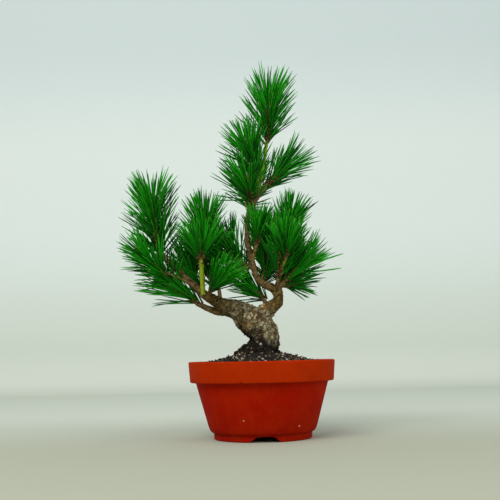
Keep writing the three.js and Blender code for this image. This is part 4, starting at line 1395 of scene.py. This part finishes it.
class BONSAI_OT_set_stage(bpy.types.Operator):
    """Sets up the backdrop, the soft lights and the camera"""

    bl_idname = "bonsai.set_stage"
    bl_label = "Stage"

    def execute(self, context):
        sizes = context.scene.bonsai_stage
        scene = context.scene
        mesh = backdrop_mesh()
        mesh.materials.append(paper(sizes))
        backdrop = bpy.data.objects.new("backdrop", mesh)
        scene.collection.objects.link(backdrop)

        axis = Vector((POT_AXIS.x, POT_AXIS.y, 0.0))
        target = axis + Vector((0.0, 0.0, 0.15))
        for name, place, size, power, tint in (
            ("key_light", (-0.7, -1.3, 1.5), (1.4, 1.0), sizes.key, (1.0, 0.99, 0.95)),
            ("fill_light", (1.3, -1.0, 0.8), (1.2, 1.2), sizes.fill, (0.95, 0.98, 1.0)),
        ):
            soft_light(name, axis + Vector(place), target, size, power, tint)
        world = bpy.data.worlds.new("room")
        world.use_nodes = True
        room = world.node_tree.nodes["Background"]
        room.inputs["Color"].default_value = (0.98, 1.0, 0.99, 1.0)
        room.inputs["Strength"].default_value = sizes.sky
        scene.world = world
        scene.view_settings.view_transform = "Standard"

        lens = bpy.data.cameras.new("camera")
        lens.sensor_width = 36.0
        lens.lens = FOCAL_LENGTH
        camera = bpy.data.objects.new("camera", lens)
        camera.location = axis + Vector(CAMERA_PLACE)
        tilt = Matrix.Rotation(math.radians(CAMERA_TILT), 3, "X")
        roll = Matrix.Rotation(math.radians(CAMERA_ROLL), 3, "Z")
        camera.rotation_euler = (tilt @ roll).to_euler()
        scene.collection.objects.link(camera)
        scene.camera = camera
        return {"FINISHED"}


# ---------------------------------------------------------------- add-on


OPERATORS = (
    BONSAI_OT_throw_pot,
    BONSAI_OT_fit_drainage,
    BONSAI_OT_fill_soil,
    BONSAI_OT_grow_trunk,
    BONSAI_OT_grow_shoots,
    BONSAI_OT_grow_needles,
    BONSAI_OT_set_stage,
)


class BONSAI_PT_sidebar(bpy.types.Panel):
    """Lists the steps that build the bonsai and what can be changed in each"""

    bl_label = "Bonsai"
    bl_idname = "BONSAI_PT_sidebar"
    bl_space_type = "VIEW_3D"
    bl_region_type = "UI"
    bl_category = "Bonsai"

    def draw(self, context):
        for operator in OPERATORS:
            self.layout.operator(operator.bl_idname)
        for group, kind in SETTINGS.items():
            box = self.layout.box()
            for name in kind.__annotations__:
                box.prop(getattr(context.scene, group), name)


CLASSES = (*SETTINGS.values(), *OPERATORS, BONSAI_PT_sidebar)


def register():
    for kind in CLASSES:
        bpy.utils.register_class(kind)
    for group, kind in SETTINGS.items():
        setattr(bpy.types.Scene, group, PointerProperty(type=kind))


def unregister():
    for group in SETTINGS:
        delattr(bpy.types.Scene, group)
    for kind in reversed(CLASSES):
        bpy.utils.unregister_class(kind)


def main():
    """Builds every piece and the stage."""
    register()
    for operator in OPERATORS:
        family, step = operator.bl_idname.split(".")
        getattr(getattr(bpy.ops, family), step)()


if __name__ == "__main__":
    main()
